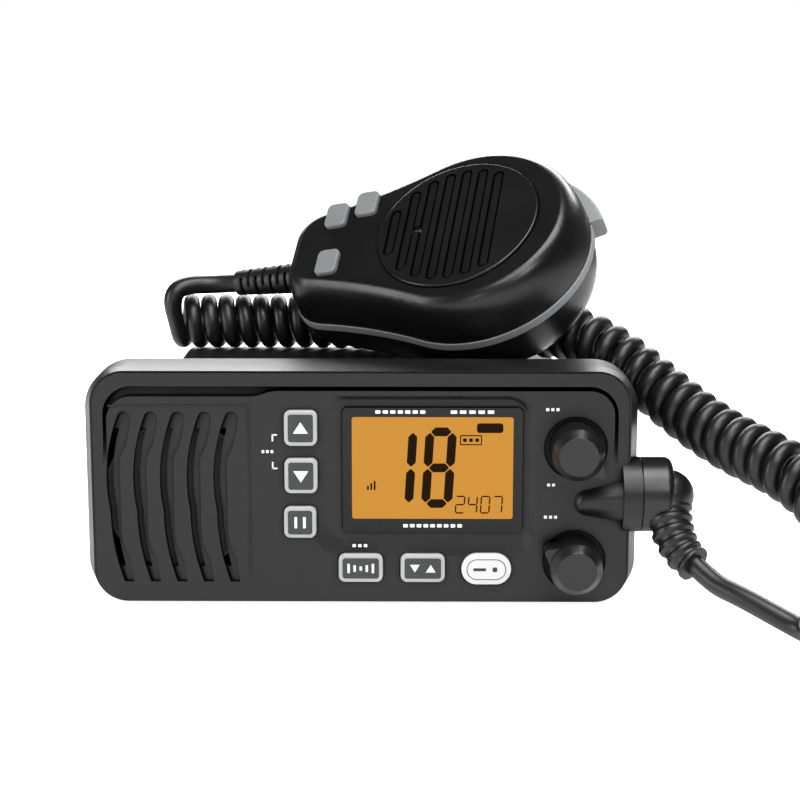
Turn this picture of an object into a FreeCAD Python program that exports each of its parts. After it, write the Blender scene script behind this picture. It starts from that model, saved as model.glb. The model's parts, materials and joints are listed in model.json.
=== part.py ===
import FreeCAD, Part
import math
import os

V = FreeCAD.Vector
os.makedirs("parts", exist_ok=True)

# All lengths are millimetres. +X is to the right seen from the front, +Y goes back, +Z is up.
# The origin is the middle of the middle standing rib on the underside.

# Front panel moulding
PANEL_W = 182.0
PANEL_H = 79.2
PANEL_D = 22.0
PANEL_R = 14.0
PANEL_WALL = 2.6
FRONT_Y = -55.0
FLANK_D = 9.0
FLANK_IN = 2.9
FLANK_LOW = 1.2
FLANK_TOP = 0.5
BAND_STEP = 0.9
BAND_IN = 0.9
BAND_TOP_IN = 0.6
FRAME_W = 3.4
FRAME_TOP_W = 4.3
HOLLOW_TOP_IN = 4.0
GROOVE_D = 5.0
GROOVE_W = 1.2
GROOVE_TOP_W = 1.5
GROOVE_END_Z = 48.0
GRILLE_TOP_DROP = 3.0
GRILLE_RIGHT_X = -36.0

# Loudspeaker louvres in the panel
SLOT_COUNT = 5
SLOT_PITCH = 8.75
SLOT_LEFT_X = -82.3
SLOT_LOW_Z = 8.2
SLOT_HIGH_Z = 64.7
SLOT_DEEP = 2.2
SLOT_SHALLOW = 0.7
SLIT_W = 1.9
SLIT_END = 5.0

# Display
DISPLAY_X = 23.5
DISPLAY_Z = 46.6
DISPLAY_W = 52.6
DISPLAY_H = 34.0
WINDOW_W = 59.0
WINDOW_H = 42.0
WINDOW_T = 2.0
WINDOW_R = 2.0
WINDOW_Z = 45.8
DISH_X0 = -17.3
DISH_X1 = 58.6
DISH_Z0 = 17.0
DISH_D = 1.6
DISH_SLOPE = 6.0

# Front keys: name, centre x, centre z, width, height, corner radius
KEYS = [
    ("up_key", -19.4, 60.2, 10.8, 11.8, 2.2),
    ("down_key", -19.4, 44.3, 10.8, 11.7, 2.2),
    ("side_key", -19.8, 28.7, 10.6, 10.6, 2.2),
    ("left_key", 0.0, 13.2, 14.6, 9.5, 2.2),
    ("middle_key", 20.4, 13.2, 14.6, 9.5, 2.2),
    ("oval_key", 41.3, 12.9, 16.4, 10.4, 5.1),
]
KEY_PROUD = 1.3
KEY_TRAVEL = 0.8
KEY_GAP = 0.3
KEY_BACK = 0.35
MAT_T = 1.0

# Rotary controls
KNOB_X = 70.1
KNOB_ZS = {"volume": 53.6, "squelch": 15.7}
KNOB_TURNS = {"volume": -41.0, "squelch": 151.0}
KNOB_R = 8.5
KNOB_TIP_R = 6.3
KNOB_PROUD = 14.0
KNOB_CHAMFER_L = 3.2
KNOB_WALL = 1.6
LUG_REACH = 11.4
LUG_R = 1.5
DISH_R = 10.4
DISH_DEPTH = 1.2
SHAFT_R = 3.0
SHAFT_CLEAR = 0.05
BUSH_R = 3.9
NUT_R = 5.4
NUT_T = 1.6
POT_R = 7.4
POT_D = 5.2

# Side port for the microphone lead
PORT_Y = FRONT_Y + 6.0
PORT_Z = 36.8
PORT_R = 12.4
COLLAR_X0 = 85.5
COLLAR_X1 = 91.6
ARM_TIP_X = 69.6
ARM_TIP_R = 4.6
ARM_R = 7.6
ARM_Z_TIP = 35.3
INSERT_R = 6.2
INSERT_LEN = 11.0
CAP_LEN = 10.2
SEAL_T = 0.5

# Die-cast chassis
CHASSIS_W = 138.0
CHASSIS_TOP = 69.8
CHASSIS_REAR_Y = 48.0
CHASSIS_WALL = 3.0
RIB_H = 4.0
RIB_W = 8.0
RIB_SPACING = 45.0
RIB_Y0 = -28.0
RIB_Y1 = 42.0
GASKET_T = 1.0
FLANGE_T = 3.0
FLANGE_IN = 3.0
FLANGE_TOP_IN = 1.2
FIN_COUNT = 13
FIN_PITCH = 9.0
FIN_T = 2.0
FIN_D = 5.0
FIN_Z0 = 34.0
BRACKET_Y = 7.0
BRACKET_Z = 37.0
BRACKET_R = 2.5
BRACKET_BOSS_R = 6.0
BRACKET_DEPTH = 9.0
SOCKET_X = -35.0
SOCKET_Z = 20.0
SOCKET_R = 7.9
SOCKET_LEN = 14.0
SOCKET_FLANGE = 25.4
GLAND_XS = {"power_gland": 12.0, "accessory_gland": 42.0}
GLAND_Z = 19.0
GLAND_R = 5.5
BOARD_T = 1.6
BOARD_Z = 16.0

# Screws
SCREW_R = 1.4
SCREW_HOLE_R = 1.5
SCREW_HEAD_R = 2.7
SCREW_HEAD_T = 2.0
BOSS_R = 3.8

# Loudspeaker
SPEAKER_X = -59.6
SPEAKER_Z = 36.5
SPEAKER_R = 25.0
SPEAKER_D = 8.0
MAGNET_R = 15.0
MAGNET_D = 6.0

# Hand microphone, in its own frame: u along it from cord end to head, v across, h out of its face
MIC_O = V(-23.4, 29.0, 26.1 + CHASSIS_TOP)
MIC_U = V(0.9281, -0.3294, 0.1734)
MIC_N = V(-0.3393, -0.5583, 0.7555)
MIC_END_HALF = 21.6
MIC_HEAD_U = 70.0
MIC_HEAD_R = 39.5
MIC_CORNER_R = 15.0
MIC_NECK_R = 190.0
MIC_FACE_H = 18.0
MIC_BACK_H = 20.4
MIC_BACK_END_H = 11.0
MIC_BACK_FULL_U = 46.0
MIC_WALL = 2.2
MIC_FACE_IN = 6.4
MIC_BAND_H = 3.0
MIC_BAND_PROUD = 0.5
GRILLE_U = 66.6
GRILLE_R = 29.4
GRILLE_T = 2.0
GRILLE_SLOTS = 7
GRILLE_PITCH = 6.1
GRILLE_SLOT_W = 4.0
GRILLE_FIRST_BACK = 24.0
MIC_KEYS = [
    ("mic_up_key", 18.5, 13.6, 8.2, 11.5),
    ("mic_down_key", 29.6, 17.4, 8.2, 11.5),
    ("mic_low_key", 19.3, -9.8, 8.2, 11.5),
]
MIC_KEY_PROUD = 1.5
MIC_KEY_TRAVEL = 0.8
PTT_R_IN = 35.6
PTT_R_OUT = 44.2
PTT_A0 = 17.0
PTT_A1 = 108.0
PTT_H = 8.0
PTT_GAP = 0.6
PTT_WALL_R = 31.6
PTT_PIVOT_A = 20.5
PTT_PIVOT_R = 38.4
PTT_PIN_R = 1.2
BOOT_LEN = 25.3
BOOT_R0 = 5.6
BOOT_R1 = 4.6
BOOT_H = 3.0
BOOT_V = 0.7
BOOT_TILT = 0.08

# Cord
WIRE_D = 5.8
LEAD_D = 6.8
LEAD_GAP = 0.4
COIL_OD = 20.0
COIL_PITCH = 6.4
COIL_START_A = 15.0
COIL_GAP = 0.55
COIL_END_TURN = -0.14


def box(x0, x1, y0, y1, z0, z1):
    return Part.makeBox(x1 - x0, y1 - y0, z1 - z0, V(x0, y0, z0))


def cyl(r, length, base, axis):
    return Part.makeCylinder(r, length, base, axis)


def save(shape, name):
    if shape.ShapeType == "Compound" and len(shape.Solids) == 1:
        shape = shape.Solids[0]
    if not shape.isValid():
        print("INVALID", name)
    print(name, len(shape.Solids), round(shape.Volume, 1))
    shape.exportStep("parts/" + name + ".step")
    return shape


def rounded_wire(x0, x1, z0, z1, r, y):
    """A rounded rectangle in the plane across Y."""
    k = r * (1 - math.sqrt(0.5))
    def line(a, b):
        return Part.LineSegment(V(a[0], y, a[1]), V(b[0], y, b[1])).toShape()
    def arc(a, m, b):
        return Part.Arc(V(a[0], y, a[1]), V(m[0], y, m[1]), V(b[0], y, b[1])).toShape()
    return Part.Wire([
        line((x0 + r, z0), (x1 - r, z0)),
        arc((x1 - r, z0), (x1 - k, z0 + k), (x1, z0 + r)),
        line((x1, z0 + r), (x1, z1 - r)),
        arc((x1, z1 - r), (x1 - k, z1 - k), (x1 - r, z1)),
        line((x1 - r, z1), (x0 + r, z1)),
        arc((x0 + r, z1), (x0 + k, z1 - k), (x0, z1 - r)),
        line((x0, z1 - r), (x0, z0 + r)),
        arc((x0, z0 + r), (x0 + k, z0 + k), (x0 + r, z0)),
    ])


def rounded_block(x0, x1, z0, z1, r, y0, y1):
    return Part.Face(rounded_wire(x0, x1, z0, z1, r, y0)).extrude(V(0, y1 - y0, 0))


def panel_inset(inset, y, low=None, top=None):
    """The panel's outline, drawn in by inset at the sides, by low at the bottom and by top at the top."""
    low = inset if low is None else low
    top = inset if top is None else top
    half = PANEL_W / 2 - inset
    return rounded_wire(-half, half, low, PANEL_H - top, PANEL_R - inset, y)


# Front panel

ISLAND_TOP = PANEL_H - FLANK_TOP - BAND_TOP_IN - FRAME_TOP_W - GROOVE_TOP_W
ISLAND_HALF = PANEL_W / 2 - FLANK_IN - BAND_IN - FRAME_W - GROOVE_W


def island_face(y):
    """The outline that the moat runs round: lower over the louvres, with an S up to the controls."""
    top = ISLAND_TOP
    low_top = top - 1.9
    half = ISLAND_HALF
    x_step = GRILLE_RIGHT_X
    r = 8.0
    k = r * (1 - math.sqrt(0.5))
    def p(x, z):
        return V(x, y, z)
    edges = [
        Part.LineSegment(p(-half, GROOVE_END_Z - 20), p(-half, low_top - r)).toShape(),
        Part.Arc(p(-half, low_top - r), p(-half + k, low_top - k), p(-half + r, low_top)).toShape(),
        Part.LineSegment(p(-half + r, low_top), p(x_step, low_top)).toShape(),
    ]
    bend = Part.BezierCurve()
    bend.setPoles([p(x_step, low_top), p(x_step + 4, low_top), p(x_step + 5, top), p(x_step + 10, top)])
    edges.append(bend.toShape())
    edges += [
        Part.LineSegment(p(x_step + 10, top), p(half - r, top)).toShape(),
        Part.Arc(p(half - r, top), p(half - k, top - k), p(half, top - r)).toShape(),
        Part.LineSegment(p(half, top - r), p(half, GROOVE_END_Z - 20)).toShape(),
        Part.LineSegment(p(half, GROOVE_END_Z - 20), p(-half, GROOVE_END_Z - 20)).toShape(),
    ]
    return Part.Face(Part.Wire(edges))


def moat():
    """The groove under the brow, deep at the top and running out down the sides."""
    outer_half = ISLAND_HALF + GROOVE_W
    top = ISLAND_TOP + GROOVE_TOP_W
    ring = rounded_block(-outer_half, outer_half, GROOVE_END_Z - 20, top, 9.5, FRONT_Y - 1, FRONT_Y + GROOVE_D)
    ring = ring.cut(island_face(FRONT_Y - 2).extrude(V(0, GROOVE_D + 4, 0)))
    pts = [(FRONT_Y - 1, GROOVE_END_Z), (FRONT_Y, GROOVE_END_Z), (FRONT_Y + GROOVE_D, top),
           (FRONT_Y + GROOVE_D, top + 5), (FRONT_Y - 1, top + 5)]
    poly = Part.makePolygon([V(-PANEL_W, y, z) for y, z in pts] + [V(-PANEL_W, pts[0][0], pts[0][1])])
    wedge = Part.Face(poly).extrude(V(2 * PANEL_W, 0, 0))
    return ring.common(wedge)


def slot_outline(x, y, grow=0.0):
    """One louvre pocket: a bowed left edge, and a right edge that steps in over the middle."""
    lo, hi = SLOT_LOW_Z, SLOT_HIGH_Z
    def p(dx, z):
        return V(x + dx, y, z)
    edges = [
        Part.Arc(p(4.3, lo), p(1.2, lo + 12), p(0.2, lo + 24)).toShape(),
        Part.Arc(p(0.2, lo + 24), p(0.1, hi - 12), p(3.4, hi - 0.4)).toShape(),
        Part.Arc(p(3.4, hi - 0.4), p(5.6, hi + 0.8), p(7.5, hi - 1.4)).toShape(),
    ]
    right = [(7.5, hi - 1.4), (7.2, hi - 4.6), (6.0, hi - 10), (3.9, hi - 14.6), (3.7, hi - 16.5),
             (3.7, lo + 16.5), (4.3, lo + 13), (6.3, lo + 8), (7.5, lo)]
    for a, b in zip(right, right[1:]):
        edges.append(Part.LineSegment(p(*a), p(*b)).toShape())
    edges.append(Part.LineSegment(p(7.5, lo), p(4.3, lo)).toShape())
    return Part.Face(Part.Wire(edges))


def slots():
    """Pockets whose floors slope down to a slit along the left edge."""
    cutters = []
    for i in range(SLOT_COUNT):
        x = SLOT_LEFT_X + i * SLOT_PITCH
        pocket = slot_outline(x, FRONT_Y - 1).extrude(V(0, 1 + SLOT_DEEP, 0))
        pts = [(x - 2, FRONT_Y - 2), (x + 9, FRONT_Y - 2), (x + 9, FRONT_Y + SLOT_SHALLOW - 0.3),
               (x + 7.5, FRONT_Y + SLOT_SHALLOW), (x, FRONT_Y + SLOT_DEEP), (x - 2, FRONT_Y + SLOT_DEEP)]
        poly = Part.makePolygon([V(a, b, 0) for a, b in pts] + [V(pts[0][0], pts[0][1], 0)])
        wedge = Part.Face(poly).extrude(V(0, 0, PANEL_H))
        cutters.append(pocket.common(wedge))
        slit = slot_outline(x, FRONT_Y - 1).cut(slot_outline(x + SLIT_W, FRONT_Y - 1))
        slit = slit.extrude(V(0, PANEL_WALL + 3, 0))
        cutters.append(slit.common(box(x - 1, x + SLIT_W + 2.6, FRONT_Y - 2, FRONT_Y + PANEL_WALL + 3,
                                       SLOT_LOW_Z + SLIT_END, SLOT_HIGH_Z - SLIT_END)))
    return cutters


def arm():
    """The raised arm that runs from between the knobs out to the side port's collar."""
    base = V(COLLAR_X0 + 2, FRONT_Y + 1.5, PORT_Z - 1.0)
    tip = V(ARM_TIP_X + ARM_TIP_R, FRONT_Y + 1.5, ARM_Z_TIP)
    axis = base - tip
    cone = Part.makeCone(ARM_TIP_R, ARM_R, axis.Length, tip, axis)
    return cone.fuse(Part.makeSphere(ARM_TIP_R, tip))


def front_panel():
    y0, y_step, y_flank, y1 = FRONT_Y, FRONT_Y + BAND_STEP, FRONT_Y + FLANK_D, FRONT_Y + PANEL_D
    front_edge = panel_inset(FLANK_IN, y_step, FLANK_LOW, FLANK_TOP)
    slope = Part.makeLoft([front_edge, panel_inset(0, y_flank)], True, True)
    body = slope.fuse(Part.Face(panel_inset(0, y_flank)).extrude(V(0, y1 - y_flank, 0)))
    inset = FLANK_IN + BAND_IN
    band = Part.Face(panel_inset(inset, y0, FLANK_LOW + 0.4, FLANK_TOP + BAND_TOP_IN)).extrude(V(0, y_step - y0 + 0.5, 0))
    body = body.fuse(band)
    hollow_in = FLANK_IN + PANEL_WALL
    hollow = Part.Face(panel_inset(hollow_in, y0 + PANEL_WALL + 0.6, None, HOLLOW_TOP_IN)).extrude(V(0, PANEL_D, 0))
    top_step = box(-PANEL_W, PANEL_W, y0, y0 + GROOVE_D + PANEL_WALL - 0.4, GROOVE_END_Z + 18, PANEL_H)
    hollow = hollow.cut(top_step)
    collar = cyl(PORT_R, COLLAR_X1 - COLLAR_X0, V(COLLAR_X0, PORT_Y, PORT_Z), V(1, 0, 0))
    body = body.cut(hollow)
    body = body.fuse([collar, arm()])
    bosses = []
    for x, z in panel_screw_places():
        bosses.append(cyl(BOSS_R, PANEL_D - PANEL_WALL, V(x, y0 + PANEL_WALL, z), V(0, 1, 0)))
    for x, z in front_board_places():
        bosses.append(cyl(BOSS_R - 1.0, BOARD_FRONT_Y - y0 - PANEL_WALL, V(x, y0 + PANEL_WALL, z), V(0, 1, 0)))
    body = body.fuse(bosses)
    cuts = [moat()] + slots()
    inner = cyl(INSERT_R + KEY_GAP / 2, INSERT_LEN + 6, V(COLLAR_X1 - INSERT_LEN - 3, PORT_Y, PORT_Z), V(1, 0, 0))
    cuts.append(inner)
    dish = Part.makeLoft([
        rounded_wire(DISH_X0, DISH_X1, DISH_Z0, ISLAND_TOP - 1.5, 11, y0),
        rounded_wire(DISH_X0 + DISH_SLOPE, DISH_X1 - DISH_SLOPE * 0.6, DISH_Z0 + DISH_SLOPE, ISLAND_TOP - 3, 7,
                     y0 + DISH_D)], True, True)
    cuts.append(dish)
    seat = KEY_GAP / 2
    cuts.append(rounded_block(*window_box(seat), WINDOW_R, y0, y0 + PANEL_WALL + 0.1))
    cuts.append(rounded_block(DISPLAY_X - DISPLAY_W / 2 - 1, DISPLAY_X + DISPLAY_W / 2 + 1,
                              DISPLAY_Z - DISPLAY_H / 2 - 1, DISPLAY_Z + DISPLAY_H / 2 + 1, 2.0,
                              y0, y0 + PANEL_WALL + 3))
    for name, x, z, w, h, r in KEYS:
        g = KEY_GAP
        cuts.append(rounded_block(x - w / 2 - g, x + w / 2 + g, z - h / 2 - g, z + h / 2 + g, r + g / 2,
                                  y0 - 1, y0 + PANEL_WALL + 3))
    for z in KNOB_ZS.values():
        cuts.append(cyl(DISH_R, DISH_DEPTH + 1, V(KNOB_X, y0 - 1, z), V(0, 1, 0)).cut(arm_guard()))
        cuts.append(cyl(BUSH_R + 0.1, 8, V(KNOB_X, y0 - 1, z), V(0, 1, 0)))
    for x, z in panel_screw_places():
        cuts.append(cyl(SCREW_HOLE_R, 12, V(x, y1 - 12, z), V(0, 1, 0)))
    for x, z in front_board_places():
        cuts.append(cyl(SCREW_HOLE_R, 4.5, V(x, BOARD_FRONT_Y - 4.5, z), V(0, 1, 0)))
    for c in cuts:
        body = body.cut(c)
    return body.removeSplitter()


def arm_guard():
    return arm().common(box(COLLAR_X0 - 14, PANEL_W, FRONT_Y - 20, FRONT_Y + 3, 0, PANEL_H))


def window_box(grow):
    return (DISPLAY_X - WINDOW_W / 2 - grow, DISPLAY_X + WINDOW_W / 2 + grow,
            WINDOW_Z - WINDOW_H / 2 - grow, WINDOW_Z + WINDOW_H / 2 + grow)


BOARD_FRONT_Y = FRONT_Y + PANEL_WALL + POT_D + 1.2
BOARD_X0 = -32.5
BOARD_X1 = KNOB_X + POT_R + 1.0


def panel_screw_places():
    x = PANEL_W / 2 - 9.5
    return [(-x, 9.0), (x, 7.5), (-x, PANEL_H - 7.7), (x, PANEL_H - 7.7)]


def front_board_places():
    return [(BOARD_X0 + 3.5, 9.0), (BOARD_X0 + 3.5, PANEL_H - 8.7), (57.5, 9.0), (56.5, PANEL_H - 8.7)]


def front_keys():
    back = FRONT_Y + PANEL_WALL + KEY_BACK
    for name, x, z, w, h, r in KEYS:
        key = rounded_block(x - w / 2, x + w / 2, z - h / 2, z + h / 2, r, FRONT_Y - KEY_PROUD, back)
        front = [e for e in key.Edges if abs(e.BoundBox.YMin - (FRONT_Y - KEY_PROUD)) < 1e-6
                 and abs(e.BoundBox.YMax - (FRONT_Y - KEY_PROUD)) < 1e-6]
        key = key.makeFillet(0.6, front)
        save(key, name)


def key_mat():
    """The silicone mat that returns the keys, between them and the board."""
    y0 = FRONT_Y + PANEL_WALL + KEY_BACK + KEY_TRAVEL + 0.1
    side = rounded_block(BOARD_X0 + 7, DISPLAY_X - WINDOW_W / 2 - 2.5, 21, 65.5, 2, y0, BOARD_FRONT_Y)
    foot = rounded_block(BOARD_X0 + 7, 51.5, 5.5, 20.9, 2, y0, BOARD_FRONT_Y)
    mat = side.fuse(foot).fuse(box(BOARD_X0 + 10, -10, y0, BOARD_FRONT_Y, 15, 30))
    return mat.removeSplitter()


def display_parts():
    y = FRONT_Y + PANEL_WALL + 0.1
    window = rounded_block(*window_box(0), WINDOW_R - 0.2, y - WINDOW_T, y)
    save(window, "display_window")
    w, h = DISPLAY_W + 4, DISPLAY_H + 3
    rest = y + 0.7
    glass = box(DISPLAY_X - w / 2, DISPLAY_X + w / 2, rest, rest + 1.6, DISPLAY_Z - h / 2, DISPLAY_Z + h / 2)
    save(glass, "display_glass")
    tray = box(DISPLAY_X - w / 2, DISPLAY_X + w / 2, rest + 1.6, BOARD_FRONT_Y, DISPLAY_Z - h / 2, DISPLAY_Z + h / 2)
    save(tray, "display_light_tray")


def knob(name):
    """A knob with a shaft bore, hollow behind, and a raised pointer on one side."""
    z = KNOB_ZS[name]
    c = V(KNOB_X, 0, z)
    y_back = FRONT_Y + DISH_DEPTH - 0.3
    y_tip = FRONT_Y - KNOB_PROUD
    axis = V(0, -1, 0)
    low = cyl(KNOB_R, y_back - y_tip - KNOB_CHAMFER_L, c + V(0, y_back, 0), axis)
    nose = Part.makeCone(KNOB_R, KNOB_TIP_R, KNOB_CHAMFER_L, c + V(0, y_tip + KNOB_CHAMFER_L, 0), axis)
    body = low.fuse(nose)
    y_lug = FRONT_Y - 0.5
    lug_d = KNOB_PROUD - 5.0
    tip = cyl(LUG_R, lug_d, c + V(LUG_REACH - LUG_R, y_lug, 0), axis)
    pts = [V(c.x + LUG_REACH - LUG_R + 0.4, y_lug, c.z + LUG_R - 0.1), V(c.x + LUG_REACH - LUG_R + 0.4, y_lug, c.z - LUG_R + 0.1),
           V(c.x + KNOB_R * 0.62, y_lug, c.z - KNOB_R * 0.66), V(c.x + KNOB_R * 0.62, y_lug, c.z + KNOB_R * 0.66)]
    web = Part.Face(Part.makePolygon(pts + [pts[0]])).extrude(V(0, -lug_d, 0))
    body = body.fuse([tip, web])
    hollow = cyl(KNOB_R - KNOB_WALL, 4.4, c + V(0, y_back, 0), axis)
    hub = cyl(SHAFT_R + 1.4, 4.4 - NUT_T - 1.0, c + V(0, y_back - NUT_T - 1.0, 0), axis)
    body = body.cut(hollow.cut(hub))
    body = body.cut(cyl(SHAFT_R, KNOB_PROUD - 3.0, c + V(0, y_back, 0), axis))
    body = body.removeSplitter()
    body.rotate(c, V(0, -1, 0), KNOB_TURNS[name])
    return body


def shaft(name):
    c = V(KNOB_X, 0, KNOB_ZS[name])
    y_back = FRONT_Y + PANEL_WALL + 3.0
    y_tip = FRONT_Y + DISH_DEPTH - 0.3 - (KNOB_PROUD - 3.0) + 0.3
    return cyl(SHAFT_R, y_back - y_tip, c + V(0, y_tip, 0), V(0, 1, 0))


def pot(name):
    """The control's body on the front board, with the threaded bush its shaft turns in."""
    c = V(KNOB_X, 0, KNOB_ZS[name])
    y_body = BOARD_FRONT_Y - POT_D
    body = cyl(POT_R, POT_D, c + V(0, y_body, 0), V(0, 1, 0))
    y_nose = FRONT_Y + DISH_DEPTH - NUT_T - 0.2
    bush = cyl(BUSH_R - 0.2, y_body - y_nose, c + V(0, y_nose, 0), V(0, 1, 0))
    body = body.fuse(bush)
    bore_end = FRONT_Y + PANEL_WALL + 3.3
    body = body.cut(cyl(SHAFT_R + SHAFT_CLEAR, bore_end - y_nose + 1, c + V(0, y_nose - 1, 0), V(0, 1, 0)))
    return body.removeSplitter()


def control_nuts():
    parts = []
    for z in KNOB_ZS.values():
        hexagon = [V(KNOB_X + NUT_R * math.cos(math.radians(60 * i)), FRONT_Y + DISH_DEPTH,
                     z + NUT_R * math.sin(math.radians(60 * i))) for i in range(7)]
        nut = Part.Face(Part.makePolygon(hexagon)).extrude(V(0, -NUT_T, 0))
        parts.append(nut.cut(cyl(BUSH_R - 0.2, 9, V(KNOB_X, FRONT_Y - 5, z), V(0, 1, 0))))
    return Part.makeCompound(parts)


def control_seals():
    """Rubber rings behind the panel that seal the two controls."""
    parts = []
    y0 = FRONT_Y + PANEL_WALL + 0.6
    for z in KNOB_ZS.values():
        ring = cyl(POT_R - 0.5, BOARD_FRONT_Y - POT_D - y0, V(KNOB_X, y0, z), V(0, 1, 0))
        parts.append(ring.cut(cyl(BUSH_R, 9, V(KNOB_X, FRONT_Y - 2, z), V(0, 1, 0))))
    return Part.makeCompound(parts)


def front_board():
    x1 = min(BOARD_X1, COLLAR_X1 - INSERT_LEN - 3.4)
    board = box(BOARD_X0, x1, BOARD_FRONT_Y, BOARD_FRONT_Y + BOARD_T, 6.0, PANEL_H - 5.7)
    for x, z in front_board_places():
        board = board.cut(cyl(SCREW_HOLE_R, 9, V(x, BOARD_FRONT_Y - 2, z), V(0, 1, 0)))
    return board


def screws(places, y_head, length, direction=-1):
    parts = []
    for x, z in places:
        head = cyl(SCREW_HEAD_R, SCREW_HEAD_T, V(x, y_head, z), V(0, -direction, 0))
        stem = cyl(SCREW_R, length, V(x, y_head, z), V(0, direction, 0))
        one = head.fuse(stem)
        slot = cyl(1.1, 1.2, V(x, y_head + SCREW_HEAD_T - 1.2, z), V(0, 1, 0))
        parts.append(one.cut(slot))
    return Part.makeCompound(parts)


def speaker():
    y0 = FRONT_Y + PANEL_WALL + 0.6
    c = V(SPEAKER_X, y0, SPEAKER_Z)
    cloth = cyl(SPEAKER_R - 1.0, 0.4, c, V(0, 1, 0))
    save(cloth, "speaker_membrane")
    y1 = y0 + 0.4
    c = V(SPEAKER_X, y1, SPEAKER_Z)
    rim = cyl(SPEAKER_R, 1.6, c, V(0, 1, 0)).cut(cyl(SPEAKER_R - 3, 2, c, V(0, 1, 0)))
    basket = Part.makeCone(SPEAKER_R, MAGNET_R, SPEAKER_D - 1.6, c + V(0, 1.6, 0), V(0, 1, 0))
    basket = basket.cut(Part.makeCone(SPEAKER_R - 2.4, MAGNET_R - 2.4, SPEAKER_D - 1.6, c + V(0, 1.6, 0), V(0, 1, 0)))
    save(rim.fuse(basket).removeSplitter(), "speaker_basket")
    cone = Part.makeCone(SPEAKER_R - 3.4, 6.0, SPEAKER_D - 2.4, c + V(0, 1.0, 0), V(0, 1, 0))
    cone = cone.cut(Part.makeCone(SPEAKER_R - 4.2, 5.2, SPEAKER_D - 3.4, c + V(0, 0.99, 0), V(0, 1, 0)))
    surround = cyl(SPEAKER_R - 3, 0.6, c + V(0, 0.6, 0), V(0, 1, 0)).cut(cyl(SPEAKER_R - 4.6, 3, c, V(0, 1, 0)))
    save(cone.fuse(surround).removeSplitter(), "speaker_cone")
    magnet = cyl(MAGNET_R, MAGNET_D, c + V(0, SPEAKER_D, 0), V(0, 1, 0))
    save(magnet, "speaker_magnet")


def port_parts():
    axis = V(1, 0, 0)
    insert = cyl(INSERT_R, INSERT_LEN, V(COLLAR_X1 - INSERT_LEN, PORT_Y, PORT_Z), axis)
    insert = insert.cut(cyl(3.4, INSERT_LEN, V(COLLAR_X1 - INSERT_LEN, PORT_Y, PORT_Z), axis))
    save(insert, "port_insert")
    x0 = COLLAR_X1
    seal = cyl(PORT_R - 1.6, SEAL_T, V(x0, PORT_Y, PORT_Z), axis).cut(cyl(3.4, 5, V(x0 - 1, PORT_Y, PORT_Z), axis))
    save(seal, "port_seal")
    x1 = x0 + SEAL_T
    cap = cyl(PORT_R - 0.1, CAP_LEN, V(x1, PORT_Y, PORT_Z), axis)
    rim = [e for e in cap.Edges if abs(e.BoundBox.XMin - (x1 + CAP_LEN)) < 1e-6 and e.BoundBox.YLength > 5]
    cap = cap.makeFillet(2.6, rim)
    elbow = elbow_boot()
    cap = cap.cut(elbow)
    save(cap.removeSplitter(), "plug_cap")
    save(elbow, "elbow_boot")


ELBOW_R0 = 8.2
ELBOW_R1 = 6.0
ELBOW_STEP = 1.05
ELBOW_GROOVE = 0.9
ELBOW_PTS = [V(100.9, -52.0, 37.2), V(101.0, -55.0, 31.2), V(102.2, -59.0, 25.5), V(104.5, -62.9, 21.0),
             V(107.9, -66.9, 17.9)]


def elbow_stations():
    """Places along the elbow's smooth middle line, with direction and share of the way."""
    line = Part.BSplineCurve()
    line.interpolate(ELBOW_PTS)
    edge = line.toShape()
    count = int(edge.Length / ELBOW_STEP)
    stations = []
    for i in range(count + 1):
        p = edge.getParameterByLength(edge.Length * i / count)
        stations.append((edge.valueAt(p), edge.tangentAt(p), i / count))
    return stations


def elbow_boot():
    """The rubber elbow that leaves the cap: a round shoulder and a tapering ribbed sleeve."""
    rings = []
    for i, (c, d, share) in enumerate(elbow_stations()):
        r = ELBOW_R0 + (ELBOW_R1 - ELBOW_R0) * share
        in_groove = i % 4 >= 2
        rings.append(Part.Wire([Part.Circle(c, d, r - (ELBOW_GROOVE if in_groove else 0.0)).toShape()]))
    shoulder = Part.makeSphere(ELBOW_R0 + 0.2, ELBOW_PTS[0])
    return Part.makeLoft(rings, True, True).fuse(shoulder)


# Chassis

CHASSIS_FRONT_Y = FRONT_Y + PANEL_D + GASKET_T


def chassis_hollow():
    half, w = CHASSIS_W / 2, CHASSIS_WALL
    return rounded_block(-half + w, half - w, RIB_H + w, CHASSIS_TOP - w, 2.0, CHASSIS_FRONT_Y - 1,
                         CHASSIS_REAR_Y - w)


def chassis_flange():
    """The casting's front plate, which the panel is screwed to."""
    y0 = CHASSIS_FRONT_Y
    plate = Part.Face(panel_inset(FLANGE_IN, y0, None, FLANGE_TOP_IN)).extrude(V(0, FLANGE_T, 0))
    plate = plate.cut(chassis_hollow())
    for x, z in panel_screw_places():
        plate = plate.cut(cyl(SCREW_HOLE_R + 0.2, 9, V(x, y0 - 2, z), V(0, 1, 0)))
    return plate


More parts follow.
